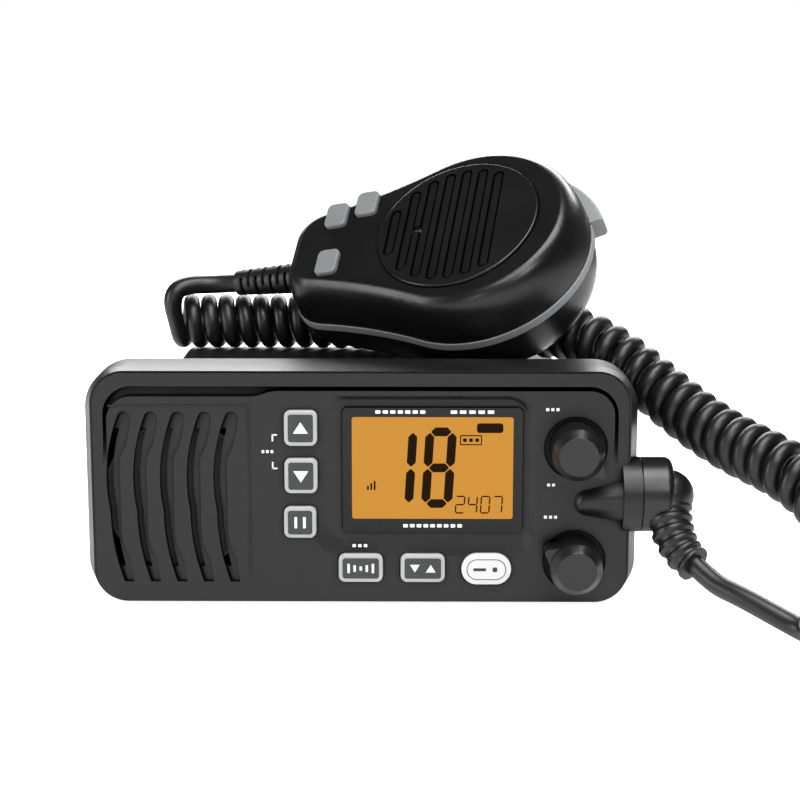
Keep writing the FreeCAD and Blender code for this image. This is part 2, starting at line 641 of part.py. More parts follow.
def chassis():
    half = CHASSIS_W / 2
    y0, y1 = CHASSIS_FRONT_Y, CHASSIS_REAR_Y
    w = CHASSIS_WALL
    body = rounded_block(-half, half, RIB_H, CHASSIS_TOP, 4.0, y0 + FLANGE_T, y1).cut(chassis_hollow())
    adds = []
    for i in (-1, 0, 1):
        x = i * RIB_SPACING
        adds.append(box(x - RIB_W / 2, x + RIB_W / 2, RIB_Y0, RIB_Y1, 0, RIB_H + 0.5))
    for i in range(FIN_COUNT):
        x = (i - (FIN_COUNT - 1) / 2) * FIN_PITCH
        adds.append(box(x - FIN_T / 2, x + FIN_T / 2, y1 - 0.5, y1 + FIN_D, FIN_Z0, CHASSIS_TOP - 4))
    for side in (-1, 1):
        x = side * (half - BRACKET_DEPTH) if side > 0 else -half
        adds.append(cyl(BRACKET_BOSS_R, BRACKET_DEPTH, V(x, BRACKET_Y, BRACKET_Z), V(1, 0, 0)))
    for x, y in board_places():
        adds.append(cyl(BOSS_R, BOARD_Z - RIB_H - w, V(x, y, RIB_H + w), V(0, 0, 1)))
    body = body.fuse(adds)
    cuts = []
    for side in (-1, 1):
        x = half - BRACKET_DEPTH + 1.5 if side > 0 else -half - 1
        cuts.append(cyl(BRACKET_R, BRACKET_DEPTH - 0.5, V(x, BRACKET_Y, BRACKET_Z), V(1, 0, 0)))
    for x, y in board_places():
        cuts.append(cyl(SCREW_HOLE_R, 6, V(x, y, BOARD_Z - 6), V(0, 0, 1)))
    cuts.append(cyl(SOCKET_R + 0.1, 9, V(SOCKET_X, y1 - 5, SOCKET_Z), V(0, 1, 0)))
    for x in GLAND_XS.values():
        cuts.append(cyl(GLAND_R, 9, V(x, y1 - 5, GLAND_Z), V(0, 1, 0)))
    for c in cuts:
        body = body.cut(c)
    return body.removeSplitter()


def board_places():
    return [(-52.0, -18.0), (52.0, -18.0), (-52.0, 34.0), (52.0, 34.0)]


def gasket():
    y0 = FRONT_Y + PANEL_D
    outer = Part.Face(panel_inset(FLANGE_IN + 0.4, y0, None, FLANGE_TOP_IN + 0.4)).extrude(V(0, GASKET_T, 0))
    inner = Part.Face(panel_inset(FLANGE_IN + 5.0, y0, None, FLANGE_TOP_IN + 5.0)).extrude(V(0, GASKET_T, 0))
    ring = outer.cut(inner)
    for x, z in panel_screw_places():
        ring = ring.cut(cyl(SCREW_HOLE_R + 0.3, 9, V(x, y0 - 2, z), V(0, 1, 0)))
    return ring


def main_board():
    board = box(-60, 60, -27, 42, BOARD_Z, BOARD_Z + BOARD_T)
    for x, y in board_places():
        board = board.cut(cyl(SCREW_HOLE_R, 9, V(x, y, BOARD_Z - 2), V(0, 0, 1)))
    return board


def board_screws():
    top = BOARD_Z + BOARD_T
    parts = []
    for x, y in board_places():
        parts.append(cyl(SCREW_HEAD_R, SCREW_HEAD_T, V(x, y, top), V(0, 0, 1)).fuse(
            cyl(SCREW_R, 5.5, V(x, y, top - 5.5), V(0, 0, 1))))
    return Part.makeCompound(parts)


def inner_parts():
    top = BOARD_Z + BOARD_T
    can = box(-46, -4, -14, 26, top, top + 9)
    can = can.cut(box(-45.4, -4.6, -13.4, 25.4, top - 1, top + 8.4))
    save(can, "rf_shield")
    save(box(8, 46, 24, CHASSIS_REAR_Y - CHASSIS_WALL, top, top + 8), "power_module")
    y0 = BOARD_FRONT_Y + BOARD_T
    z_low = top + 0.4
    strip = box(10, 26, y0, y0 + 0.4, z_low, 30).fuse(box(10, 26, y0, -17, z_low - 0.4, z_low))
    save(strip.removeSplitter(), "ribbon_cable")


def rear_parts():
    y = CHASSIS_REAR_Y
    c = V(SOCKET_X, y, SOCKET_Z)
    half = SOCKET_FLANGE / 2
    plate = rounded_block(c.x - half, c.x + half, c.z - half + 0.5, c.z + half - 0.5, 3, y, y + 1.6)
    barrel = cyl(SOCKET_R, SOCKET_LEN + 1.6, c, V(0, 1, 0))
    neck = cyl(SOCKET_R, CHASSIS_WALL + 1, c + V(0, -CHASSIS_WALL - 1, 0), V(0, 1, 0))
    socket = plate.fuse([barrel, neck])
    socket = socket.cut(cyl(4.2, 11, c + V(0, SOCKET_LEN + 1.6 - 11, 0), V(0, 1, 0)))
    for dx in (-1, 1):
        for dz in (-1, 1):
            socket = socket.cut(cyl(1.6, 4, c + V(dx * 9.1, -1, dz * 9.1), V(0, 1, 0)))
    save(socket.removeSplitter(), "antenna_socket")
    for name, x in GLAND_XS.items():
        c = V(x, y, GLAND_Z)
        gland = cyl(GLAND_R + 2.0, 2.4, c, V(0, 1, 0)).fuse(
            Part.makeCone(GLAND_R, GLAND_R - 1.6, 9, c + V(0, 2.4, 0), V(0, 1, 0)))
        gland = gland.fuse(cyl(GLAND_R - 0.1, CHASSIS_WALL, c + V(0, -CHASSIS_WALL, 0), V(0, 1, 0)))
        gland = gland.cut(cyl(2.2, 30, c + V(0, -10, 0), V(0, 1, 0)))
        save(gland.removeSplitter(), name)


# Hand microphone

MIC_V = MIC_N.cross(MIC_U)


def to_world(shape):
    """Puts a piece drawn in the microphone's own frame in its place on the radio."""
    m = FreeCAD.Matrix(MIC_U.x, MIC_V.x, MIC_N.x, MIC_O.x,
                       MIC_U.y, MIC_V.y, MIC_N.y, MIC_O.y,
                       MIC_U.z, MIC_V.z, MIC_N.z, MIC_O.z, 0, 0, 0, 1)
    placed = shape.copy()
    placed.Placement = FreeCAD.Placement(m).multiply(shape.Placement)
    return placed


def mic_wire(inset, h):
    """The microphone's outline at height h, drawn in by inset: an end, two sides and a round head."""
    r = MIC_CORNER_R - inset
    head = MIC_HEAD_R - inset
    side = MIC_NECK_R + inset
    c1 = V(MIC_HEAD_U, 0, h)
    c2 = V(MIC_CORNER_R, MIC_END_HALF - MIC_CORNER_R, h)
    a, b = side + r, side + head
    d = (c1 - c2).Length
    e = (c1 - c2) * (1 / d)
    along = (a * a - b * b + d * d) / (2 * d)
    out = math.sqrt(a * a - along * along)
    normal = V(-e.y, e.x, 0)
    if normal.y < 0:
        normal = normal * -1
    c3 = c2 + e * along + normal * out
    t2 = c2 + (c3 - c2) * (r / a)
    t1 = c1 + (c3 - c1) * (head / b)
    def mirror(p):
        return V(p.x, -p.y, p.z)
    def on(c, radius, deg):
        return c + V(radius * math.cos(math.radians(deg)), radius * math.sin(math.radians(deg)), 0)
    def angle(c, p):
        return math.degrees(math.atan2(p.y - c.y, p.x - c.x)) % 360
    start = c2 + V(-r, 0, 0)
    m_corner = on(c2, r, (180 + angle(c2, t2)) / 2)
    m_side = on(c3, side, (angle(c3, t2) + angle(c3, t1)) / 2)
    tip = c1 + V(head, 0, 0)
    m_head = on(c1, head, angle(c1, t1) / 2)
    edges = [
        Part.LineSegment(mirror(start), start).toShape(),
        Part.Arc(start, m_corner, t2).toShape(),
        Part.Arc(t2, m_side, t1).toShape(),
        Part.Arc(t1, m_head, tip).toShape(),
        Part.Arc(tip, mirror(m_head), mirror(t1)).toShape(),
        Part.Arc(mirror(t1), mirror(m_side), mirror(t2)).toShape(),
        Part.Arc(mirror(t2), mirror(m_corner), mirror(start)).toShape(),
    ]
    return Part.Wire(edges)


def mic_loft(levels):
    return Part.makeLoft([mic_wire(inset, h) for inset, h in levels], True, False)


def mic_front_form(wall=0.0):
    top = MIC_FACE_H - wall
    levels = [(wall, 0.0), (wall + 0.3, 0.35 * MIC_FACE_H), (wall + 1.5, 0.68 * MIC_FACE_H),
              (wall + 3.6, 0.9 * top), (MIC_FACE_IN + wall * 0.6, top)]
    return mic_loft(levels)


def mic_back_form(wall=0.0):
    low = -(MIC_BACK_H - wall)
    levels = [(wall + 0.5, -MIC_BAND_H), (wall + 1.0, -0.45 * MIC_BACK_H), (wall + 2.4, -0.75 * MIC_BACK_H),
              (wall + 5.5, low)]
    form = mic_loft(levels)
    end = -(MIC_BACK_END_H - wall)
    past = 8.0
    drop = (end - low) * past / (MIC_BACK_FULL_U - 3.0)
    far = MIC_BACK_FULL_U + past
    pts = [(-5.0, end), (3.0, end), (far, low - drop), (far, low - 9), (-5.0, low - 9)]
    poly = Part.makePolygon([V(u, -60, h) for u, h in pts] + [V(pts[0][0], -60, pts[0][1])])
    return form.cut(Part.Face(poly).extrude(V(0, 120, 0)))


def sector(r0, r1, a0, a1, h0, h1):
    """A ring sector about the head's centre."""
    big = cyl(r1, h1 - h0, V(MIC_HEAD_U, 0, h0), V(0, 0, 1))
    if r0 > 0:
        big = big.cut(cyl(r0, h1 - h0, V(MIC_HEAD_U, 0, h0), V(0, 0, 1)))
    far = 90.0
    pts = [V(MIC_HEAD_U, 0, h0)]
    steps = max(2, int((a1 - a0) / 40) + 1)
    for i in range(steps + 1):
        a = math.radians(a0 + (a1 - a0) * i / steps)
        pts.append(V(MIC_HEAD_U + far * math.cos(a), far * math.sin(a), h0))
    pie = Part.Face(Part.makePolygon(pts + [pts[0]])).extrude(V(0, 0, h1 - h0))
    return big.common(pie)


def rounded_uv(u, v, w, d, r, h0, h1):
    """A rounded upright block in the microphone's frame."""
    block = Part.makeBox(w, d, h1 - h0, V(u - w / 2, v - d / 2, h0))
    edges = [e for e in block.Edges if e.BoundBox.ZLength > abs(h1 - h0) - 1e-6]
    return block.makeFillet(r, edges)


MIC_SCREWS = [(15.0, 10.5), (15.0, -10.5), (88.0, 22.0), (88.0, -22.0)]
MIC_BOARD_H = MIC_FACE_H - 7.6


def mic_front_shell():
    shell = mic_front_form().cut(mic_front_form(MIC_WALL))
    shell = shell.cut(cyl(GRILLE_R + 0.2, 5, V(GRILLE_U, 0, MIC_FACE_H - 1.0), V(0, 0, 1)))
    shell = shell.cut(cyl(GRILLE_R - 3.0, 9, V(GRILLE_U, 0, MIC_FACE_H - 5), V(0, 0, 1)))
    for name, u, v, w, d in MIC_KEYS:
        shell = shell.cut(rounded_uv(u, v, w + 0.6, d + 0.6, 2.3, MIC_FACE_H - 8, MIC_FACE_H + 5))
    shell = shell.cut(boot_hole())
    bosses = [cyl(3.0, MIC_FACE_H - MIC_WALL + 0.4, V(u, v, 0), V(0, 0, 1)) for u, v in MIC_SCREWS[2:]]
    shell = shell.fuse(bosses)
    for u, v in MIC_SCREWS[2:]:
        shell = shell.cut(cyl(SCREW_HOLE_R, 9, V(u, v, -1), V(0, 0, 1)))
    return shell.removeSplitter()


def mic_back_shell():
    shell = mic_back_form().cut(mic_back_form(MIC_WALL))
    pocket_low = -PTT_H - 2 * PTT_GAP
    shell = shell.cut(sector(PTT_WALL_R + 1.6, 60, PTT_A0 - 3, PTT_A1 + 6, pocket_low, 5))
    wall = sector(PTT_WALL_R, PTT_WALL_R + 1.6, PTT_A0 - 6, PTT_A1 + 9, pocket_low - 1.6, -MIC_BAND_H)
    ledge = sector(PTT_WALL_R, 60, PTT_A0 - 6, PTT_A1 + 9, pocket_low - 1.6, pocket_low)
    shell = shell.fuse(wall.fuse(ledge).common(mic_back_form()))
    for u, v in MIC_SCREWS:
        low = -(MIC_BACK_H - MIC_WALL) if u > MIC_BACK_FULL_U else -(MIC_BACK_END_H + 2.4 - MIC_WALL)
        shell = shell.fuse(cyl(3.0, -low - 0.2, V(u, v, low - 0.3), V(0, 0, 1)))
        shell = shell.cut(cyl(SCREW_HOLE_R + 0.1, 40, V(u, v, -MIC_BACK_H - 5), V(0, 0, 1)))
        shell = shell.cut(cyl(SCREW_HEAD_R + 0.2, 30, V(u, v, low - 0.3 - 30 + 2.0), V(0, 0, 1)))
    shell = shell.cut(boot_hole())
    return shell.removeSplitter()


def mic_band():
    """The grey rubber band between the shells, broken where the talk bar sits."""
    outer = Part.Face(mic_wire(-MIC_BAND_PROUD, -MIC_BAND_H)).extrude(V(0, 0, MIC_BAND_H))
    inner = Part.Face(mic_wire(MIC_WALL + 0.3, -MIC_BAND_H - 1)).extrude(V(0, 0, MIC_BAND_H + 2))
    ring = outer.cut(inner)
    ring = ring.cut(sector(PTT_WALL_R + 1.6, 60, PTT_A0 - 3, PTT_A1 + 6, -9, 5))
    ring = ring.cut(boot_hole())
    return ring


def talk_bar():
    bar = sector(PTT_R_IN, PTT_R_OUT, PTT_A0, PTT_A1, -PTT_H - PTT_GAP, -PTT_GAP)
    edges = [e for e in bar.Edges if e.Curve.TypeId == "Part::GeomCircle" and abs(e.Curve.Radius - PTT_R_OUT) < 1e-6]
    bar = bar.makeFillet(1.6, edges)
    return bar.cut(cyl(PTT_PIN_R + SHAFT_CLEAR, 30, pivot() + V(0, 0, -20), V(0, 0, 1)))


def pivot():
    a = math.radians(PTT_PIVOT_A)
    return V(MIC_HEAD_U + PTT_PIVOT_R * math.cos(a), PTT_PIVOT_R * math.sin(a), 0)


def talk_pin():
    return cyl(PTT_PIN_R, PTT_H + PTT_GAP * 2, pivot() + V(0, 0, -PTT_H - 2 * PTT_GAP), V(0, 0, 1))


def talk_switch():
    a = math.radians(62)
    base = Part.makeBox(0.7, 6, 5, V(PTT_WALL_R + 1.4, -3, -PTT_H))
    nose = cyl(1.5, 0.25, V(PTT_WALL_R + 2.1, 0, -PTT_H + 2.5), V(1, 0, 0))
    part = base.fuse(nose)
    part.rotate(V(0, 0, 0), V(0, 0, 1), math.degrees(a))
    part.translate(V(MIC_HEAD_U, 0, 0))
    base_cut = cyl(PTT_WALL_R + 1.6, 20, V(MIC_HEAD_U, 0, -15), V(0, 0, 1))
    return part.cut(base_cut)


def mic_grille():
    """The round insert over the microphone, with rows of blind slots across it."""
    disc = cyl(GRILLE_R, GRILLE_T, V(GRILLE_U, 0, MIC_FACE_H - 1.0), V(0, 0, 1))
    rim = [e for e in disc.Edges if abs(e.BoundBox.ZMin - (MIC_FACE_H - 1.0 + GRILLE_T)) < 1e-6]
    disc = disc.makeFillet(0.8, rim)
    for i in range(GRILLE_SLOTS):
        u = GRILLE_U - GRILLE_FIRST_BACK + i * GRILLE_PITCH
        reach = math.sqrt(max((GRILLE_R - 3.0) ** 2 - (u - GRILLE_U) ** 2, 1.0))
        w = GRILLE_SLOT_W
        slot = rounded_uv(u, 0, w, 2 * reach, w / 2 - 0.05, MIC_FACE_H + GRILLE_T - 1.0 - 1.1, MIC_FACE_H + 5)
        ridge = rounded_uv(u, 0, w - 1.5, 2 * reach - 1.5, w / 2 - 0.8, MIC_FACE_H - 1.0,
                           MIC_FACE_H + GRILLE_T - 1.0 - 0.3)
        disc = disc.cut(slot.cut(ridge))
    disc = disc.cut(cyl(1.5, 9, V(GRILLE_U - 15, 0, MIC_FACE_H - 4), V(0, 0, 1)))
    return disc


def mic_inner():
    save(to_world(mic_grille()), "mic_grille")
    h = MIC_BOARD_H
    board = rounded_uv(36.0, 0, 48, 24, 4, h - 1.2, h)
    save(to_world(board), "mic_board")
    save(to_world(rounded_uv(24.0, 3.5, 22, 34, 3, h, MIC_FACE_H - 5.2 - MIC_KEY_TRAVEL).cut(
        mic_front_mask())), "mic_key_mat")
    capsule = cyl(5.0, MIC_FACE_H - 1.0 - h, V(GRILLE_U - 15, 0, h), V(0, 0, 1))
    save(to_world(capsule), "mic_capsule")


def mic_front_mask():
    """All that lies outside the front shell's cavity, less a small clearance."""
    block = Part.makeBox(200, 200, 60, V(-50, -100, -20))
    return block.cut(mic_front_form(MIC_WALL + 0.3))


def mic_keys():
    for name, u, v, w, d in MIC_KEYS:
        key = rounded_uv(u, v, w, d, 2.2, MIC_FACE_H - 5.0, MIC_FACE_H + MIC_KEY_PROUD)
        top = [e for e in key.Edges if abs(e.BoundBox.ZMin - (MIC_FACE_H + MIC_KEY_PROUD)) < 1e-6]
        save(to_world(key.makeFillet(0.8, top)), name)


def mic_screws():
    parts = []
    for u, v in MIC_SCREWS:
        low = -(MIC_BACK_H - MIC_WALL) if u > MIC_BACK_FULL_U else -(MIC_BACK_END_H + 2.4 - MIC_WALL)
        seat = low - 0.3 + 2.0
        parts.append(cyl(SCREW_HEAD_R, 1.6, V(u, v, seat - 1.6), V(0, 0, 1)).fuse(
            cyl(SCREW_R, 7.5 - seat - 2, V(u, v, seat), V(0, 0, 1))))
    return Part.makeCompound(parts)


def boot_axis(u):
    """A point on the strain relief's axis, which leans a little across the microphone."""
    return V(u, BOOT_V - BOOT_TILT * u, BOOT_H)


BOOT_DIR = V(1, -BOOT_TILT, 0).normalize()


def boot_hole():
    return cyl(BOOT_R0 + 0.1, 12, boot_axis(-4.0), BOOT_DIR)


def mic_boot():
    """The strain relief on the microphone, with staggered slits part way round."""
    cone = Part.makeCone(BOOT_R1, BOOT_R0, BOOT_LEN, boot_axis(0) - BOOT_DIR * BOOT_LEN, BOOT_DIR)
    boot = cone.fuse(cyl(BOOT_R0, 7.5, boot_axis(0) , BOOT_DIR))
    boot = boot.fuse(cyl(BOOT_R0 + 1.5, 2.0, boot_axis(0) + BOOT_DIR * 4.0, BOOT_DIR))
    for i in range(7):
        at = boot_axis(0) - BOOT_DIR * (BOOT_LEN - 2.6 - i * 3.1)
        ring = cyl(8, 1.3, at, BOOT_DIR).cut(cyl(LEAD_D / 2 - 0.2, 1.3, at, BOOT_DIR))
        if i % 2:
            keep = Part.makeBox(4, 20, 3.4, at + V(-1, -10, -1.7))
        else:
            keep = Part.makeBox(4, 3.4, 20, at + V(-1, -1.7, -10))
        boot = boot.cut(ring.cut(keep))
    return boot.removeSplitter()


# Cord

COIL_AXIS = [V(-70.6, 44.5, 80.2), V(-45.0, 44.5, 80.2), V(-20.0, 44.5, 80.2), V(2.0, 41.0, 80.2),
             V(22.0, 35.0, 80.2), V(42.0, 25.5, 80.6), V(60.0, 14.5, 82.0), V(74.0, 6.8, 82.0),
             V(84.7, -5.0, 77.8), V(95.5, -15.0, 70.8), V(104.8, -24.0, 63.6), V(113.5, -35.0, 57.8),
             V(122.9, -48.0, 53.2), V(133.6, -63.0, 50.2), V(142.0, -75.0, 46.0), V(150.0, -86.0, 37.0),
             V(156.0, -97.0, 24.0), V(158.5, -109.0, 12.5), V(157.0, -121.0, 10.4), V(148.0, -128.0, 10.4),
             V(137.0, -127.0, 10.4)]


def quadratic_points(pts, step):
    """Points at even spacing on the clamped quadratic B-spline with these control points."""
    n = len(pts)
    knots = n - 1
    curve = Part.BSplineCurve()
    curve.buildFromPolesMultsKnots(pts, [3] + [1] * (knots - 2) + [3], list(range(knots)), False, 2)
    edge = curve.toShape()
    count = int(round(edge.Length / step))
    return curve, edge.Length, [edge.valueAt(edge.getParameterByLength(edge.Length * i / count))
                                for i in range(count + 1)]


class Helix:
    """A curl wound round a smooth axis, opened out just enough on its bends to clear itself."""

    def __init__(self):
        self.curve, self.length, self.pts = quadratic_points(COIL_AXIS, 0.4)
        self.n = len(self.pts) - 1
        self.step = self.length / self.n
        self.radius = (COIL_OD - WIRE_D) / 2
        tangents = []
        for i in range(self.n + 1):
            a = self.pts[max(i - 1, 0)]
            b = self.pts[min(i + 1, self.n)]
            tangents.append((b - a).normalize())
        bends = []
        for i in range(self.n + 1):
            lo, hi = max(i - 8, 0), min(i + 8, self.n)
            bends.append(tangents[lo].getAngle(tangents[hi]) / ((hi - lo) * self.step))
        wide = 18
        most = [max(bends[max(i - wide, 0):min(i + wide, self.n) + 1]) for i in range(self.n + 1)]
        smooth = []
        for i in range(self.n + 1):
            part = most[max(i - wide, 0):min(i + wide, self.n) + 1]
            smooth.append(sum(part) / len(part))
        self.phase = [0.0]
        for i in range(self.n):
            bend = (smooth[i] + smooth[i + 1]) / 2
            pitch = max(COIL_PITCH, (WIRE_D + COIL_GAP) / (1 - 1.06 * self.radius * bend))
            self.phase.append(self.phase[-1] + self.step / pitch)
        self.turns = round(self.phase[-1]) + COIL_END_TURN
        scale = self.turns / self.phase[-1]
        self.phase = [p * scale for p in self.phase]
        normal = V(0, -1, 0)
        self.frames = []
        for i, t in enumerate(tangents):
            normal = (normal - t * normal.dot(t)).normalize()
            self.frames.append((t, V(normal), t.cross(normal)))

    def place(self, turn):
        """How far along the axis the curl has gone after so many turns."""
        lo, hi = 0, self.n
        while hi - lo > 1:
            mid = (lo + hi) // 2
            if self.phase[mid] <= turn:
                lo = mid
            else:
                hi = mid
        return (lo + (turn - self.phase[lo]) / (self.phase[hi] - self.phase[lo])) * self.step

    def point(self, turn):
        f = min(max(self.place(turn) / self.step, 0.0), self.n - 1e-9)
        i = int(f)
        w = f - i
        c = self.pts[i] * (1 - w) + self.pts[i + 1] * w
        t0, a0, b0 = self.frames[i]
        t1, a1, b1 = self.frames[i + 1]
        a = (a0 * (1 - w) + a1 * w).normalize()
        b = (b0 * (1 - w) + b1 * w).normalize()
        ang = math.radians(COIL_START_A) + 2 * math.pi * turn
        return c + a * (self.radius * math.cos(ang)) + b * (self.radius * math.sin(ang))

    def tangent(self, turn):
        d = 0.004
        lo, hi = max(turn - d, 0.0), min(turn + d, self.turns)
        return (self.point(hi) - self.point(lo)).normalize()


def biarc(p0, t0, p1, t1):
    """Two arcs with a shared tangent that join two points with given directions."""
    v = p1 - p0
    t = t0 + t1
    vt = v.dot(t)
    denom = 2 * (1 - t0.dot(t1))
    d = (-vt + math.sqrt(vt * vt + denom * v.dot(v))) / denom
    q0 = p0 + t0 * d
    q1 = p1 - t1 * d
    m = (q0 + q1) * 0.5
    def arc(a, corner, b):
        chord = (a + b) * 0.5
        h = (corner - chord).Length
        half = (b - a).Length / 2
        if h < 1e-6:
            return Part.LineSegment(a, b).toShape()
        leg = math.sqrt(half * half + h * h)
        radius = half * leg / h
        centre = chord + (chord - corner).normalize() * (radius * half / leg)
        mid = centre + (corner - centre).normalize() * radius
        return Part.Arc(a, mid, b).toShape(), radius
    return arc(p0, q0, m), arc(m, q1, p1)


def tube(path_edges, radius):
    wire = Part.Wire(path_edges)
    start = wire.OrderedEdges[0]
    p = start.valueAt(start.FirstParameter)
    t = start.tangentAt(start.FirstParameter)
    profile = Part.Wire([Part.Circle(p, t, radius).toShape()])
    shell = Part.BRepOffsetAPI.MakePipeShell(wire)
    shell.add(profile)
    shell.build()
    shell.makeSolid()
    return shell.shape(), wire.Length


def least_gap(h):
    """The least distance between the wire and itself a turn or so along, less the wire's width."""
    per_turn = 48
    n = int(h.turns * per_turn)
    fine = [h.point(h.turns * i / n) for i in range(n + 1)]
    least = 1e9
    for i in range(n + 1):
        for j in range(i + per_turn // 2, min(i + per_turn * 2, n + 1)):
            d = (fine[i] - fine[j]).Length
            if d < least:
                least = d
                where = i / per_turn
    return least - WIRE_D, where


def curly_cord():
    h = Helix()
    count = int(round(h.turns * 4))
    marks = [h.turns * i / count for i in range(count + 1)]
    pts = [h.point(m) for m in marks]
    tans = [h.tangent(m) for m in marks]
    start = pts[0] - tans[0] * WIRE_D
    end = pts[-1] + tans[-1] * WIRE_D
    edges = [Part.LineSegment(start, pts[0]).toShape()]
    radii = []
    for i in range(count):
        for e, r in biarc(pts[i], tans[i], pts[i + 1], tans[i + 1]):
            edges.append(e)
            radii.append(r)
    edges.append(Part.LineSegment(pts[-1], end).toShape())
    solid, length = tube(edges, WIRE_D / 2)
    area = math.pi * WIRE_D ** 2 / 4
    print("curly cord turns", round(h.turns, 2), "length", round(length, 1), "axis", round(h.length, 1),
          "volume ratio", round(solid.Volume / (area * length), 4), "radii", round(min(radii), 2), round(max(radii), 2))
    print("curly cord least gap to itself", least_gap(h))
    return solid, length, start, tans[0], end, tans[-1]


def routed_tube(name, pts, radius, first_dir=None):
    """A tube along straight runs and arcs, each arc as large as its runs allow."""
    edges = []
    radii = []
    here = pts[0]
    for i in range(1, len(pts) - 1):
        a, b, c = pts[i - 1], pts[i], pts[i + 1]
        d0 = (b - a).normalize()
        d1 = (c - b).normalize()
        turn = math.acos(max(-1, min(1, d0.dot(d1))))
        run = min((b - a).Length, (c - b).Length)
        cut = 0.45 * run
        r = cut / math.tan(turn / 2)
        radii.append(r)
        p = b - d0 * cut
        q = b + d1 * cut
        edges.append(Part.LineSegment(here, p).toShape())
        inward = (d1 - d0).normalize()
        centre = b + inward * (r / math.cos(turn / 2))
        mid = centre - inward * r
        edges.append(Part.Arc(p, mid, q).toShape())
        here = q
    edges.append(Part.LineSegment(here, pts[-1]).toShape())
    solid, length = tube(edges, radius)
    area = math.pi * radius ** 2
    print(name, "length", round(length, 1), "volume ratio", round(solid.Volume / (area * length), 4),
          "radii", [round(r, 1) for r in radii])
    return solid, length


def cord_parts():
    solid, coil_len, start, t_start, end, t_end = curly_cord()
    save(solid, "curly_cord")
    tip = boot_axis(0) - BOOT_DIR * BOOT_LEN
    boot_end = MIC_O + MIC_U * tip.x + MIC_V * tip.y + MIC_N * tip.z
    along = MIC_U * BOOT_DIR.x + MIC_V * BOOT_DIR.y
    exit_pt = boot_end
    print("start", start, t_start, "exit", exit_pt, "end", end, t_end)
    lead = [start, start - t_start * 6.6] + MIC_LEAD_MID + [exit_pt - along * 8.0, exit_pt - along * LEAD_GAP]
    tube_shape, a = routed_tube("mic_lead", lead, LEAD_D / 2)
    save(tube_shape, "mic_lead")
    last = ELBOW_PTS[-1]
    out = (ELBOW_PTS[-1] - ELBOW_PTS[-2]).normalize()
    lead = [end, end + t_end * 8.0] + RADIO_LEAD_MID + [last + out * 9.0, last + out * LEAD_GAP]
    tube_shape, b = routed_tube("radio_lead", lead, LEAD_D / 2)
    save(tube_shape, "radio_lead")
    print("cord length", round(coil_len + a + b, 1))


MIC_LEAD_MID = [V(-68.9, 35.4, 95.0)]
RADIO_LEAD_MID = [V(140.0, -103.5, 6.0), V(139.0, -94.5, 4.0), V(129.0, -87.0, 8.0), V(120.6, -80.0, 11.3)]


def main():
    save(front_panel(), "front_panel")
    save(gasket(), "panel_gasket")
    save(chassis(), "chassis")
    save(chassis_flange(), "chassis_flange")
    display_parts()
    front_keys()
    save(key_mat(), "key_mat")
    save(front_board(), "front_board")
    for name in KNOB_ZS:
        save(knob(name), name + "_knob")
        save(shaft(name), name + "_shaft")
        save(pot(name), name + "_control")
    save(control_nuts(), "control_nuts")
    save(control_seals(), "control_seals")
    save(screws(panel_screw_places(), CHASSIS_FRONT_Y + FLANGE_T, 11.0), "panel_screws")
    save(screws(front_board_places(), BOARD_FRONT_Y + BOARD_T, 5.0), "front_board_screws")
    speaker()
    port_parts()
    save(main_board(), "main_board")
    save(board_screws(), "board_screws")
    inner_parts()
    rear_parts()
    save(to_world(mic_front_shell()), "mic_front_shell")
    save(to_world(mic_back_shell()), "mic_back_shell")
    save(to_world(mic_band()), "mic_band")
    save(to_world(talk_bar()), "talk_bar")
    save(to_world(talk_pin()), "talk_pin")
    save(to_world(talk_switch()), "talk_switch")
    mic_inner()
    mic_keys()
    save(to_world(mic_screws()), "mic_screws")
    save(to_world(mic_boot()), "mic_boot")
    cord_parts()


main()
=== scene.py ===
import json
import math

import bpy
from mathutils import Matrix, Vector


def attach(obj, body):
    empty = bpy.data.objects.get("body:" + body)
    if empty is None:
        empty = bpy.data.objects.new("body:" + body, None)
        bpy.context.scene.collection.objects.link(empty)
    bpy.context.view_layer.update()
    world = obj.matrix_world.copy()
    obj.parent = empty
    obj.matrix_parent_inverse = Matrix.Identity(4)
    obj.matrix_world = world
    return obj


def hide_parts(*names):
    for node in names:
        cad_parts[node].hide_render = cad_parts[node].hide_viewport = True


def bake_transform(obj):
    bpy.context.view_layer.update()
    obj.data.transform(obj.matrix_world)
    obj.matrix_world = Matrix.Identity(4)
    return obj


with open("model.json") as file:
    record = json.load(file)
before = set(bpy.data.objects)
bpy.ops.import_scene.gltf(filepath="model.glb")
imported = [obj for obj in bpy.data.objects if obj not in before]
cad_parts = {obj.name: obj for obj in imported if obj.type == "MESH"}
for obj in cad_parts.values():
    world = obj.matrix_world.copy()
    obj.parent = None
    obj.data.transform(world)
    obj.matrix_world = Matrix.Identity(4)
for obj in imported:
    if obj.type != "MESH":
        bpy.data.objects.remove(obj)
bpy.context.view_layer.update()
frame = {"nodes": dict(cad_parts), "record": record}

bl_info = {
    "name": "Marine radio with curly cord",
    "version": (1, 0, 0),
    "blender": (4, 5, 0),
    "location": "View3D > Sidebar > Radio",
    "description": "Dresses the packed radio in its finishes, printed marks and cord, and lights it",
    "category": "Object",
}

MM = 0.001
SAME = 1e-7  # in metres: coordinates as close as this are one

# Places on the front, in millimetres
FACE_Y = -55.0
KEY_FRONT_Y = -56.3
WINDOW_FRONT_Y = -54.3
AMBER_X = (-2.8, 49.8)
AMBER_Z = (29.6, 63.6)

# The microphone's own frame, in millimetres: its origin, along it from the cord end, and out of its face
MIC_O = Vector((-23.4, 29.0, 95.9))
MIC_U = Vector((0.9281, -0.3294, 0.1734)).normalized()
MIC_N = Vector((-0.3393, -0.5583, 0.7555)).normalized()


# Finishes

